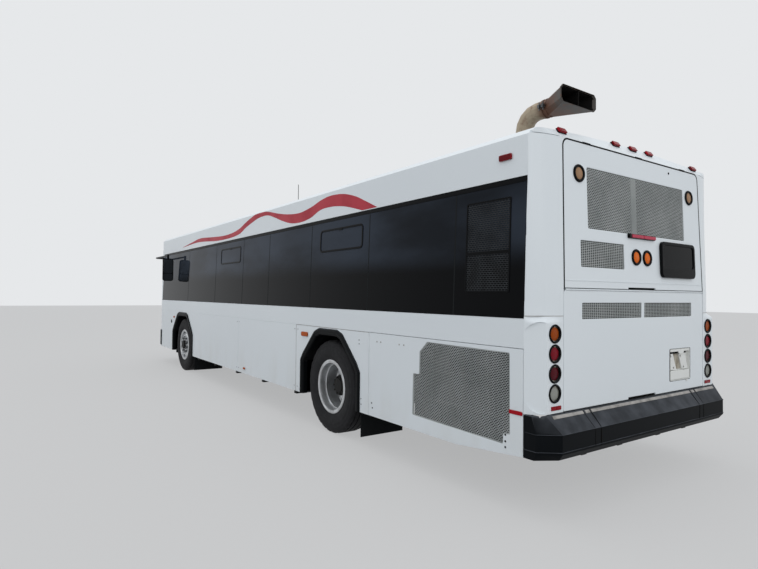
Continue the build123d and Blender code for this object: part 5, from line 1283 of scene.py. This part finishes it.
def rear_hub(name, side):
    """Axle flange with its bolts, which stands out of the deep dish, long nuts, rim edges and valve."""
    base = wheel_place(rear_axle_x, side, REAR_HUB_Y)
    hub, studs, bright = Shape(), Shape(), Shape()
    hub.lathe([
        (0.0, 0.016), (0.118, 0.016), (0.118, 0.024), (0.100, 0.060), (0.094, 0.150), (0.108, 0.158),
        (0.108, 0.184), (0.100, 0.193), (0.080, 0.196), (0.077, 0.2045), (0.070, 0.2075), (0.0, 0.2085),
    ], base, 56)
    bolt_profile = [(0.0, 0.188), (0.009, 0.188), (0.009, 0.205), (0.0, 0.206)]
    nut_profile = [
        (0.0, 0.014), (0.0245, 0.014), (0.0245, 0.022), (0.0215, 0.024),
        (0.0205, 0.062), (0.0150, 0.067), (0.0, 0.067),
    ]
    for bolt, nut in zip(bolt_seats(base, FLANGE_CIRCLE, 0.5), bolt_seats(base, NUT_CIRCLE)):
        studs.lathe(bolt_profile, bolt, 6)
        studs.lathe(nut_profile, nut, 12)
    bright.lathe([
        (0.264, 0.2900), (0.267, 0.2945), (0.273, 0.2962), (0.281, 0.2945),
        (0.2865, 0.2895), (0.2865, 0.283), (0.264, 0.283),
    ], base, 96, False)
    bright.lathe([
        (0.236, 0.214), (0.240, 0.218), (0.2485, 0.218), (0.2485, 0.206), (0.236, 0.206),
    ], base, 96, False)
    piece(f"rear_hub_{name}", hub, hub_iron, f"rear_wheels_{name}")
    piece(f"rear_nuts_{name}", studs, hub_iron, f"rear_wheels_{name}")
    piece(f"rear_rim_edges_{name}", bright, wheel_alloy, f"rear_wheels_{name}")
    valve_path = ((0.225, 0.02, 0.05), (0.228, 0.02, 0.15), (0.222, 0.02, 0.20))
    valve = Shape().tube([base @ Vector(point) for point in valve_path], 0.004, 8)
    piece(f"rear_valve_{name}", valve, rail_steel, f"rear_wheels_{name}")


def wheels():
    """Tyres, and what is bolted to the wheels."""
    for name, side in SIDES:
        front = wheel_place(front_axle_x, side, OUTER_TYRE_Y)
        front_tyre, rear_tyres = Shape(), Shape()
        tyre_shape(front, front_tyre)
        for y in (OUTER_TYRE_Y, INNER_TYRE_Y):
            tyre_shape(wheel_place(rear_axle_x, side, y), rear_tyres, 120)
        piece(
            f"front_tyre_{name}_cover", front_tyre, tyre_rubber, f"front_wheel_{name}",
            [f"front_tyre_{name}"], crease=50,
        )
        piece(
            f"rear_tyre_{name}_covers", rear_tyres, tyre_rubber, f"rear_wheels_{name}",
            [f"rear_tyres_{name}"], crease=50,
        )
        front_hub(name, side, front)
        rear_hub(name, side)


# Corners of the mesh opening: how far ahead of the rear face, and how high
RADIATOR_MESH = [
    (1.110, 1.098), (0.228, 1.091), (0.222, 0.528), (0.281, 0.524), (0.285, 0.451), (1.299, 0.467),
    (1.292, 0.820), (1.212, 0.819), (1.206, 1.010),
]


def radiator_door():
    """Left rear door with the stepped mesh opening, on knuckles at its front edge."""
    door = side_place(LEFT, half_width)
    low_x, high_x = 0.109, 1.960
    outline = [
        (ahead(low_x), 0.400), (ahead(0.770), skirt_z), (ahead(high_x), skirt_z),
        (ahead(high_x), 1.124), (ahead(low_x), 1.124),
    ]
    opening = [(ahead(x), z) for x, z in RADIATOR_MESH]
    panel = Shape().sheet([outline, rounded(opening, 0.012, 4)], -0.010, 0, door, 0.002)
    middle = Vector((ahead(1.03), 0.745))
    rim = [tuple(middle + (Vector(p) - middle) * 0.93) for p in outline]
    panel.sheet([outline, rim], -0.040, -0.0101, door)
    knuckles(panel, [(ahead(1.962), half_width, z) for z in (0.5, 1.0)], (0, 0, 1))
    piece("radiator_door_skin", panel, white_paint, "radiator_door", ["radiator_door"])
    mesh = Shape()
    area = ((ahead(0.222), ahead(1.299)), (0.451, 1.098))
    inset = moved(door, 0, 0, -0.003)
    mesh.bars(area, MESH_PITCH, 0.0034, MESH_DEPTH, inset, in_outline(opening), staggered=True)
    piece("radiator_mesh", mesh, mesh_coat, "radiator_door")
    frame_bars = Shape()
    edge = rounded(opening, 0.012, 4)
    centre = Vector((ahead(0.76), 0.775))
    inner = [tuple(centre + (Vector(p) - centre) * 0.985) for p in edge]
    frame_bars.sheet([edge, inner], -0.012, -0.0045, door)
    piece("radiator_mesh_frame", frame_bars, mesh_coat, "radiator_door")
    duct = Shape()
    for bar_x in (0.45, 0.75, 1.05):
        duct.block((ahead(bar_x), ahead(bar_x + 0.02)), (0.47, 1.08), (-0.036, -0.016), door)
    for bar_z in (0.62, 0.86):
        duct.block((ahead(0.24), ahead(1.27)), (bar_z, bar_z + 0.02), (-0.036, -0.016), door)
    piece("radiator_mesh_braces", duct, chassis_paint, "radiator_door")
    # Painted shade: a black sheet behind the mesh
    screen = [(centre.x + (u - centre.x) * 1.02, centre.y + (v - centre.y) * 1.02) for u, v in opening]
    backing = Shape().sheet([screen], -0.0415, -0.0385, door)
    piece("radiator_painted_shade", backing, soot_seam_and_painted_shade_black, "radiator_door")
    marks = Shape()
    screw_profile = [(0.0, 0.0002), (0.0075, 0.0002), (0.0075, 0.002), (0.005, 0.0034), (0.0, 0.0036)]
    for x, z in ((0.262, 0.435), (0.262, 0.475), (0.262, 0.520), (1.907, 0.464), (1.894, 0.420)):
        marks.lathe(screw_profile, moved(door, ahead(x), z), 14)
    piece("radiator_door_screws", marks, hard_plastic, "radiator_door")
    heads = Shape()
    rivet_profile = [(0.0, 0.0002), (0.0075, 0.0002), (0.0075, 0.0012), (0.005, 0.0026), (0.0, 0.0028)]
    for x in (1.829, 1.768, 1.488, 1.422):
        heads.lathe(rivet_profile, moved(door, ahead(x), 1.046), 14)
    piece("radiator_door_rivets", heads, ledge_trim, "radiator_door")
    strip_box = round_box((ahead(0.111), ahead(0.229)), (0.676, 0.704), [0.012, 0.003, 0.003, 0.012])
    strip = Shape().sheet([strip_box], 0.0003, 0.005, door, 0.002)
    piece("side_reflector_strip", strip, red_lens, "radiator_door")


roof_low, roof_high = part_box("roof_shell")
window_lean = math.atan2(half_width - roof_high.y, roof_low.z - sill_z)
window_rise = (roof_low.z - sill_z) / math.cos(window_lean)
# Joints between the side panes, as distances ahead of the rear face
LEFT_JOINTS = (0.799, 2.006, 3.183, 4.358, 5.283, 6.488, 8.024)
RIGHT_JOINTS = (0.799, 2.006, 3.183, 5.900, 7.080, 8.200)


def side_windows():
    """Rubber at the joints, the strips along the panes, two transoms and the mesh panel at the back."""
    for name, side, joints in (("left", LEFT, LEFT_JOINTS), ("right", RIGHT, RIGHT_JOINTS)):
        glass = side_place(side, half_width, sill_z, window_lean)
        rubber = Shape()
        for joint in joints:
            joint_u = around(ahead(joint), 0.006)
            rubber.block(joint_u, (0.006, window_rise - 0.044), (-0.006, 0.0006), glass)
        piece(f"window_joints_{name}", rubber, flap_rubber, "body")
        strip = Shape()
        start, end = (ahead(0.108), ahead(9.928))
        runs = [(start, end)] if side == LEFT else [(start, ahead(3.545)), (ahead(4.675), ahead(9.075))]
        for run in runs:
            band = rectangle(run, (window_rise - 0.040, window_rise - 0.004))
            strip.sheet([band], -0.004, 0.0005, glass, 0.001)
        piece(f"window_rail_{name}", strip, hard_plastic, "body")
        sill = Shape()
        for run in runs:
            sill.sheet([rectangle(run, (0.0015, 0.0045))], -0.004, 0.0008, glass)
        piece(f"window_sill_rubber_{name}", sill, black_primer, "body")
    glass = side_place(LEFT, half_width, sill_z, window_lean)
    transoms = Shape()
    for low, high in ((2.120, 2.975), (5.400, 6.255)):
        outer = round_box((ahead(low) - 0.003, ahead(high) + 0.003), (0.611, 0.857), 0.048, 8)
        inner = round_box((ahead(low) + 0.017, ahead(high) - 0.017), (0.631, 0.837), 0.030, 8)
        transoms.sheet([outer, inner], 0.0003, 0.006, glass, 0.002)
        middle = ahead((low + high) / 2)
        latch = round_box(around(middle, 0.04), (0.829, 0.845), 0.006)
        transoms.sheet([latch], 0.0058, 0.009, glass, 0.001)
    piece("transom_rims", transoms, hard_plastic, "body")
    # Framed mesh panel with two slots
    frame_u, slot_u = (ahead(0.238), ahead(0.677)), (ahead(0.25), ahead(0.665))
    slots = ((0.189, 0.455), (0.479, 0.839))
    loops = [round_box(frame_u, (0.177, 0.851), 0.012)]
    loops += [round_box(slot_u, v, 0.01) for v in slots]
    rims = Shape().sheet(loops, 0.0003, 0.004, glass, 0.001)
    piece("side_grille_rim", rims, hard_plastic, "body")
    mesh = Shape()
    outside = moved(glass, 0, 0, 0.0015)
    for v in slots:
        mesh.bars((slot_u, v), (0.030, 0.015), 0.005, 0.002, outside, staggered=True)
    piece("side_grille_mesh", mesh, satin_mesh, "body")


def curve_through(points, count):
    """Even samples of a smooth curve through points."""
    ends = [Vector(points[0]) * 2 - Vector(points[1])] + [Vector(p) for p in points]
    ends.append(Vector(points[-1]) * 2 - Vector(points[-2]))
    samples = []
    spans = len(points) - 1
    for i in range(count + 1):
        place = i / count * spans
        k = min(int(place), spans - 1)
        t = place - k
        a, b, c, d = ends[k:k + 4]
        square = (2 * a - 5 * b + 4 * c - d) * t * t
        cube = (3 * b - a - 3 * c + d) * t ** 3
        samples.append(0.5 * ((2 * b) + (c - a) * t + square + cube))
    return samples


def wave_stripe():
    """Red film that runs along the cove in a wave and ends at the window line."""
    upper = [
        (8.540, 2.371), (7.892, 2.425), (7.407, 2.460), (6.769, 2.429), (6.197, 2.404), (5.782, 2.415),
        (5.475, 2.456), (5.250, 2.518), (4.999, 2.574), (4.806, 2.600), (4.497, 2.588), (4.128, 2.519),
        (3.843, 2.476), (3.528, 2.454), (3.238, 2.484), (2.991, 2.535), (2.779, 2.555), (2.519, 2.535),
        (2.294, 2.481), (2.116, 2.412), (1.890, 2.318),
    ]
    lower = [
        (8.540, 2.368), (7.676, 2.398), (7.137, 2.383), (6.644, 2.353), (6.192, 2.341), (5.777, 2.348),
        (5.470, 2.376), (5.245, 2.441), (4.994, 2.494), (4.755, 2.533), (4.462, 2.533), (4.214, 2.473),
        (3.978, 2.404), (3.729, 2.351), (3.472, 2.339), (3.232, 2.364), (3.008, 2.425), (2.774, 2.432),
        (2.553, 2.411), (2.381, 2.377), (2.150, 2.318),
    ]
    shell = nodes["roof_shell"]
    cove_foot_z = 2.3135
    count, rows = 200, 8
    top, foot = curve_through(upper, count), curve_through(lower, count)
    for name, side in SIDES:
        rings = []
        for a, b in zip(top, foot):
            ring = []
            for row in range(rows + 1):
                spot = a.lerp(b, row / rows)
                origin = Vector((ahead(spot.x), side * 2.0, max(spot.y, cove_foot_z)))
                hit, place, normal, face = shell.ray_cast(origin, Vector((0, -side, 0)))
                beside = Vector((ahead(spot.x), side * half_width, spot.y))
                ring.append(place + normal * 0.0012 if hit else beside)
            rings.append(ring)
        under = [[point - Vector((0, side * 0.0022, 0)) for point in ring] for ring in rings]
        film = Shape().loft([ring + list(reversed(low)) for ring, low in zip(rings, under)])
        piece(f"wave_stripe_{name}", film, stripe_film, "body")


def side_details():
    """Side lamps, screws and joints of the panels, a small round fitting and the cove's red markers."""
    left = side_place(LEFT, half_width)
    for name, side in SIDES:
        place = side_place(side, half_width)
        ambers = Shape()
        lamps = [(8.943, 1.003, 0.066, 0.034)]
        if side == LEFT:
            lamps = [(3.280, 1.025, 0.156, 0.052), (5.136, 0.413, 0.064, 0.028)] + lamps
        for x, z, length, height in lamps:
            lamp_u = around(ahead(x), length / 2)
            lamp_v = around(z, height / 2)
            ambers.sheet([round_box(lamp_u, lamp_v, height * 0.35)], 0.0004, 0.014, place, 0.005)
        if side == RIGHT:
            outline = round_box((ahead(3.202), ahead(3.358)), (0.999, 1.051), 0.018)
            ambers.sheet([outline], 0.0004, 0.014, place, 0.005)
        stands_for = ["amber_lamps"] if side == LEFT else []
        piece(f"side_ambers_{name}", ambers, amber_lens, "body", stands_for)
    screws = Shape()
    screw_profile = [(0.0, 0.0002), (0.0065, 0.0002), (0.0065, 0.0015), (0.004, 0.003), (0.0, 0.003)]
    for x, z in (
        (2.091, 0.474), (2.090, 0.421), (2.135, 1.039), (2.134, 1.002), (3.46, 0.40), (3.46, 1.07),
        (5.36, 0.40), (5.36, 1.07), (5.44, 0.40), (5.44, 1.07), (3.54, 0.40), (3.54, 1.07),
    ):
        screws.lathe(screw_profile, moved(left, ahead(x), z), 14)
    piece("side_screws", screws, fastener_zinc, "body")
    joints = Shape()
    joints.block((ahead(1.968), ahead(3.507)), (1.122, 1.126), (-0.004, 0.0004), left)
    joints.block((ahead(3.503), ahead(3.507)), (skirt_z + 0.002, 1.122), (-0.004, 0.0004), left)
    piece("arch_panel_joints", joints, ledge_trim, "body")
    round_fitting = Shape().lathe([
        (0.0, 0.0002), (0.036, 0.0002), (0.036, 0.004), (0.031, 0.006), (0.027, 0.003), (0.0, 0.003),
    ], moved(left, ahead(9.144), 0.908), 32)
    piece("front_side_fitting", round_fitting, hard_plastic, "body")
    cove_lamp = Shape()
    for side in (LEFT, RIGHT):
        origin = Vector((ahead(0.298), side * 2, 2.466))
        hit, place, normal, face = nodes["roof_shell"].ray_cast(origin, Vector((0, -side, 0)))
        up = (Vector((0, 0, 1)) - normal * normal.z).normalized()
        seat = Matrix.Translation(place) @ Matrix((Vector((1, 0, 0)), up, normal)).transposed().to_4x4()
        marker = round_box((-0.058, 0.058), (-0.022, 0.022), 0.009)
        cove_lamp.sheet([marker], 0.0003, 0.016, seat, 0.006)
    piece("cove_markers", cove_lamp, red_lens, "body", ["red_lamps"])


def exhaust():
    """Divider, lip and clamp bolts of the flared mouth, soot inside it, and the pipe's rubber collar."""
    y0, z0 = 0.840, 2.897

    def section(half_y, half_z, corner, x):
        """Eight-sided section of the mouth, at a distance ahead of the rear face."""
        quarter = [(half_y, half_z - corner), (half_y - corner, half_z)]
        top = quarter + [(-y, z) for y, z in reversed(quarter)]
        return [(ahead(x), y0 + y, z0 + z) for y, z in top + [(-y, -z) for y, z in top]]

    lip = Shape()
    corners = []
    for outer, inner in zip(section(0.2045, 0.0625, 0.023, 0), section(0.1985, 0.0565, 0.020, 0)):
        corners.append([outer, (outer[0] + 0.010, *outer[1:]), (inner[0] + 0.010, *inner[1:]), inner])
    for pair in zip(corners, corners[1:] + corners[:1]):
        lip.loft(pair)
    piece("exhaust_lip", lip, exhaust_metal, "body")
    liner = Shape()
    rings = [
        section(0.1945, 0.0525, 0.018, 0.012),
        section(0.126, 0.0545, 0.03, 0.12),
        section(0.0595, 0.0595, 0.030, 0.236),
    ]
    liner.loft(rings, caps=False)
    inside = [[(x, y0 + (y - y0) * 0.985, z0 + (z - z0) * 0.97) for x, y, z in ring] for ring in rings]
    liner.loft(inside, caps=False)
    liner.loft([inside[-1], [(x + 0.004, y, z) for x, y, z in inside[-1]]])
    liner.block((ahead(0.004), ahead(0.10)), around(y0, 0.003), around(z0, 0.058))
    piece("exhaust_liner", liner, soot_seam_and_painted_shade_black, "body")
    bolts = Shape()
    for x in (0.249, 0.283):
        bolts.block(around(ahead(x), 0.008), (y0 + 0.068, y0 + 0.096), around(z0, 0.012))
        bolts.tube([(ahead(x), y0 + 0.082, z0 - 0.028), (ahead(x), y0 + 0.082, z0 + 0.03)], 0.005, 10)
    piece("exhaust_clamp_bolts", bolts, fastener_zinc, "body")
    collar = Shape().lathe([
        (0.069, 2.690), (0.115, 2.690), (0.112, 2.702), (0.082, 2.722), (0.078, 2.745), (0.069, 2.745),
    ], Matrix.Translation((ahead(0.490), y0, 0)), 32, False)
    piece("exhaust_collar", collar, flare_rubber, "body")


def mirrors():
    """Mirror heads with rounded shells and glass that faces back, on bent arms."""
    shells, arms, glass = Shape(), Shape(), Shape()
    head_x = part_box("mirrors")[0].x + 0.035
    head_y = 1.435
    arm_z = 2.225
    boss_profile = [(0.0, 2.155), (0.021, 2.155), (0.021, 2.243), (0.016, 2.2465), (0.0, 2.2465)]
    for side in (LEFT, RIGHT):
        back = facing(FACING_BACK, (head_x, side * head_y, 1.940))
        outline = round_box((-0.100, 0.100), (-0.220, 0.220), 0.045, 8)
        opening = round_box((-0.088, 0.088), (-0.208, 0.208), 0.035, 8)
        shells.sheet([outline], -0.034, 0.026, back, 0.020)
        shells.sheet([outline, opening], 0.020, 0.034, back, 0.004)
        for v in ((-0.062, 0.206), (-0.206, -0.074)):
            glass.sheet([round_box((-0.086, 0.086), v, 0.03, 8)], 0.0262, 0.029, back)
        arm_path = (
            (ahead(9.960), half_width - 0.027), (ahead(9.960), 1.390), (ahead(9.945), 1.425),
            (ahead(9.905), head_y), (head_x, head_y),
        )
        arms.tube([(x, side * y, arm_z) for x, y in arm_path], 0.0165, 16)
        arms.lathe(boss_profile, Matrix.Translation((head_x, side * head_y, 0)), 20)
        arms.block((ahead(9.925), ahead(9.977)), (side * 1.263, side * 1.300), (2.185, 2.247))
    piece("mirror_shells", shells, hard_plastic, "body", ["mirrors"])
    piece("mirror_arms", arms, hard_plastic, "body")
    piece("mirror_panes", glass, mirror_glass, "body")


def front_end():
    """Wipers, headlamps, indicators and the blank front sign."""
    shell = nodes["front_cap"]
    glass = nodes["front_glass"]

    def on_front(y, z, target=shell, lift=0.0):
        """Point on the skin of the front end, or a little ahead of it."""
        hit, place, normal, face = target.ray_cast(Vector((ahead(12), y, z)), Vector((-1, 0, 0)))
        return (place if hit else Vector((ahead(10.45), y, z))) + Vector((lift, 0, 0))

    arms, blades = Shape(), Shape()
    pivot_profile = [(0.0, -0.02), (0.026, -0.02), (0.026, 0.012), (0.02, 0.018), (0.0, 0.018)]
    for side in (LEFT, RIGHT):
        pivot = on_front(side * 0.30, 1.13, shell, 0.02)
        tip = on_front(side * 0.62, 1.72, glass, 0.030)
        middle = pivot.lerp(tip, 0.55) + Vector((0.02, 0, 0))
        arms.tube([pivot - Vector((0.03, 0, 0)), pivot, middle, tip], 0.008, 8)
        arms.lathe(pivot_profile, frame_of(pivot, (0, 1, 0), (0, 0, 1)), 20)
        along = (-1, -0.5, 0, 0.5, 1)
        line = [on_front(side * (0.62 + 0.34 * t), 1.72 - 0.42 * t, glass, 0.014) for t in along]
        blades.tube(line, 0.009, 6)
    piece("wiper_arms", arms, hard_plastic, "body")
    piece("wiper_blades", blades, flare_rubber, "body")
    # The headlamps sit on the bow of the front, an arc with this radius
    bow = 2.9
    rings, domes, ambers = Shape(), Shape(), Shape()
    ring_profile = [
        (0.086, -0.03), (0.086, 0.006), (0.092, 0.010), (0.100, 0.008), (0.104, -0.002), (0.104, -0.03),
    ]
    dome_profile = [
        (0.0, -0.01), (0.086, -0.01), (0.086, 0.001), (0.070, 0.008), (0.040, 0.0135), (0.0, 0.0155),
    ]
    for y in (0.700, 0.900):
        for side in (LEFT, RIGHT):
            surface = ahead(10.5) - (1 - math.cos(y / bow)) * bow
            seat = frame_of((surface, side * y, 0.80), (0, 1, 0), (0, 0, 1))
            rings.lathe(ring_profile, seat, 40, False)
            domes.lathe(dome_profile, seat, 40)
    piece("headlamp_rings", rings, hard_plastic, "body")
    piece("headlamp_domes", domes, head_lens, "body", ["clear_lamps"])
    indicator_profile = [(0.0, -0.02), (0.048, -0.02), (0.048, 0.002), (0.036, 0.010), (0.0, 0.014)]
    for side in (LEFT, RIGHT):
        centre = on_front(side * 1.07, 0.80, shell)
        seat = frame_of(centre, (-0.45 * side, 0.9, 0), (0, 0, 1))
        ambers.lathe(indicator_profile, seat, 32)
    piece("front_indicators", ambers, amber_lens, "body")
    screen = Shape().block((ahead(10.13), ahead(10.15)), (-0.86, 0.86), (2.28, 2.48))
    piece("front_sign_screen", screen, sign_screen, "body")


def cushion(width, depth, thick):
    """Crowned pad with rounded edges and two sewn channels, as a closed form."""
    across, along = 18, 12
    top, foot = [], []
    for j in range(along + 1):
        v = -1 + 2 * j / along
        row_top, row_foot = [], []
        for i in range(across + 1):
            u = -1 + 2 * i / across
            pull = 1 - 0.030 * (abs(v) ** 3) * (1 - abs(u)) * 1.2
            swell = (1 - abs(u) ** 6) ** 0.5 * (1 - abs(v) ** 6) ** 0.5
            channel = 0.16 * math.exp(-((abs(u) - 0.62) / 0.05) ** 2)
            x, y = u * width / 2 * pull, v * depth / 2
            row_top.append((x, y, thick * (0.25 + 0.75 * swell * (1 - channel))))
            row_foot.append((x * 0.985, y * 0.985, 0.0))
        top.append(row_top)
        foot.append(row_foot)
    count = across + 1
    points = [p for row in top for p in row] + [p for row in foot for p in row]
    faces = []
    base = (along + 1) * count
    for j in range(along):
        for i in range(across):
            a = j * count + i
            faces.append([a, a + 1, a + count + 1, a + count])
            faces.append([base + a, base + a + count, base + a + count + 1, base + a + 1])
    rim = list(range(count)) + [j * count + across for j in range(1, along + 1)]
    rim += [along * count + i for i in reversed(range(across))]
    rim += [j * count for j in reversed(range(1, along))]
    for a, b in zip(rim, rim[1:] + rim[:1]):
        faces.append([b, a, base + a, base + b])
    return points, faces


def pad_piece(name, size, place):
    """Cloth pad of a seat, with its width, depth and thickness."""
    pad = Shape().add(*cushion(*size), place=place)
    return piece(name, pad, seat_cloth, "body", crease=60, subdivide=1)


PAIR_Y = 0.775
SEAT_HEIGHT = 0.430
low_deck_z, raised_deck_z = 0.390, 0.830
# Rows of paired seats: how far ahead of the rear face, their floor, and the sides they stand on
SEAT_ROWS = (
    (1.700, raised_deck_z, (LEFT, RIGHT)),
    (4.280, low_deck_z, (LEFT,)),
    (5.050, low_deck_z, (LEFT, RIGHT)),
    (5.800, low_deck_z, (LEFT, RIGHT)),
    (6.550, low_deck_z, (LEFT, RIGHT)),
)


def passenger_seats():
    """Paired seats: moulded shells on round legs, with cloth pads."""
    shells, legs = Shape(), Shape()
    flat = facing(FACING_UP, (0, 0, 0))
    back_box = round_box((-0.207, 0.207), (0.0, 0.605), [0.02, 0.02, 0.09, 0.09])
    for x, floor_z, sides in SEAT_ROWS:
        for side in sides:
            middle_y = side * PAIR_Y
            top_z = floor_z + SEAT_HEIGHT
            for half in (-1, 1):
                y = middle_y + half * 0.215
                seat_u = around(y, 0.207)
                outline = round_box(seat_u, (ahead(x) + 0.02, ahead(x) + 0.440), 0.05)
                shells.sheet([outline], top_z - 0.050, top_z - 0.022, flat, 0.010)
                back = facing(FACING_AHEAD, (ahead(x), y, top_z - 0.05))
                shells.sheet([back_box], 0.001, 0.024, back, 0.009)
            legs.lathe([
                (0.0, floor_z), (0.12, floor_z), (0.12, floor_z + 0.012), (0.045, floor_z + 0.03),
                (0.042, top_z - 0.06), (0.11, top_z - 0.05), (0.0, top_z - 0.05),
            ], Matrix.Translation((ahead(x) + 0.22, middle_y, 0)), 20)
    piece("seat_shells", shells, seat_shell_plastic, "body", ["passenger_seats"])
    piece("seat_legs", legs, rail_steel, "body")
    number = 0
    for x, floor_z, sides in SEAT_ROWS:
        for side in sides:
            for half in (-1, 1):
                number += 1
                y = side * PAIR_Y + half * 0.215
                top_z = floor_z + SEAT_HEIGHT
                seat = facing(FACING_UP, (ahead(x) + 0.235, y, top_z - 0.0225))
                made = pad_piece(f"seat_pad_{number}", (0.370, 0.360, 0.038), seat)
                back = facing(FACING_AHEAD, (ahead(x) + 0.0235, y, top_z + 0.290))
                made = pad_piece(f"back_pad_{number}", (0.360, 0.470, 0.034), back)


def rear_bench():
    """Five seats side by side on one bench over the engine."""
    bench_half, bench_low = 1.135, 1.250
    bench_y, bench_z = (-bench_half, bench_half), (bench_low + 0.0004, bench_low + 0.030)
    bench = Shape().block((ahead(0.935), ahead(1.495)), bench_y, bench_z)
    back_box = round_box((-0.222, 0.222), (0.002, 0.560), [0.01, 0.01, 0.09, 0.09])
    places = [(index - 2) * bench_half * 2 / 5 for index in range(5)]
    for y in places:
        bench.sheet([back_box], 0.0, 0.030, facing(FACING_AHEAD, (ahead(0.872), y, bench_low)), 0.008)
    piece("bench_shells", bench, seat_shell_plastic, "body")
    for index, y in enumerate(places):
        seat = facing(FACING_UP, (ahead(1.215), y, bench_low + 0.0295))
        made = pad_piece(f"bench_pad_{index}", (0.430, 0.540, 0.068), seat)
        back = facing(FACING_AHEAD, (ahead(0.9015), y, bench_low + 0.310))
        made = pad_piece(f"bench_back_pad_{index}", (0.400, 0.440, 0.040), back)


def driver_seat():
    """Driver's seat on a round base, with thicker pads."""
    x, y = ahead(9.02), 0.62
    shell = Shape()
    seat_box = round_box((x + 0.02, x + 0.47), around(y, 0.235), 0.06)
    shell.sheet([seat_box], 0.785, 0.83, None, 0.012)
    back_box = round_box((-0.23, 0.23), (0.0, 0.69), [0.03, 0.03, 0.12, 0.12])
    shell.sheet([back_box], 0.004, 0.045, facing(FACING_AHEAD, (x, y, 0.80)), 0.014)
    shell.lathe([
        (0.0, 0.395), (0.16, 0.395), (0.16, 0.41), (0.11, 0.43), (0.105, 0.60), (0.085, 0.62),
        (0.085, 0.79), (0.0, 0.79),
    ], Matrix.Translation((x + 0.24, y, 0)), 24)
    piece("driver_seat_shell", shell, seat_shell_plastic, "body", ["driver_seat"])
    made = pad_piece("driver_seat_pad", (0.45, 0.42, 0.075), facing(FACING_UP, (x + 0.265, y, 0.829)))
    made = pad_piece("driver_back_pad", (0.42, 0.60, 0.065), facing(FACING_AHEAD, (x + 0.044, y, 1.16)))


def interior():
    """Seats that show through the glass and the open doors."""
    passenger_seats()
    rear_bench()
    driver_seat()


rear_posts()
engine_door()
upper_hatch()
lamp_pods()
rear_bumper_trim()
flares()
wheels()
radiator_door()
side_windows()
wave_stripe()
side_details()
exhaust()
mirrors()
front_end()
interior()
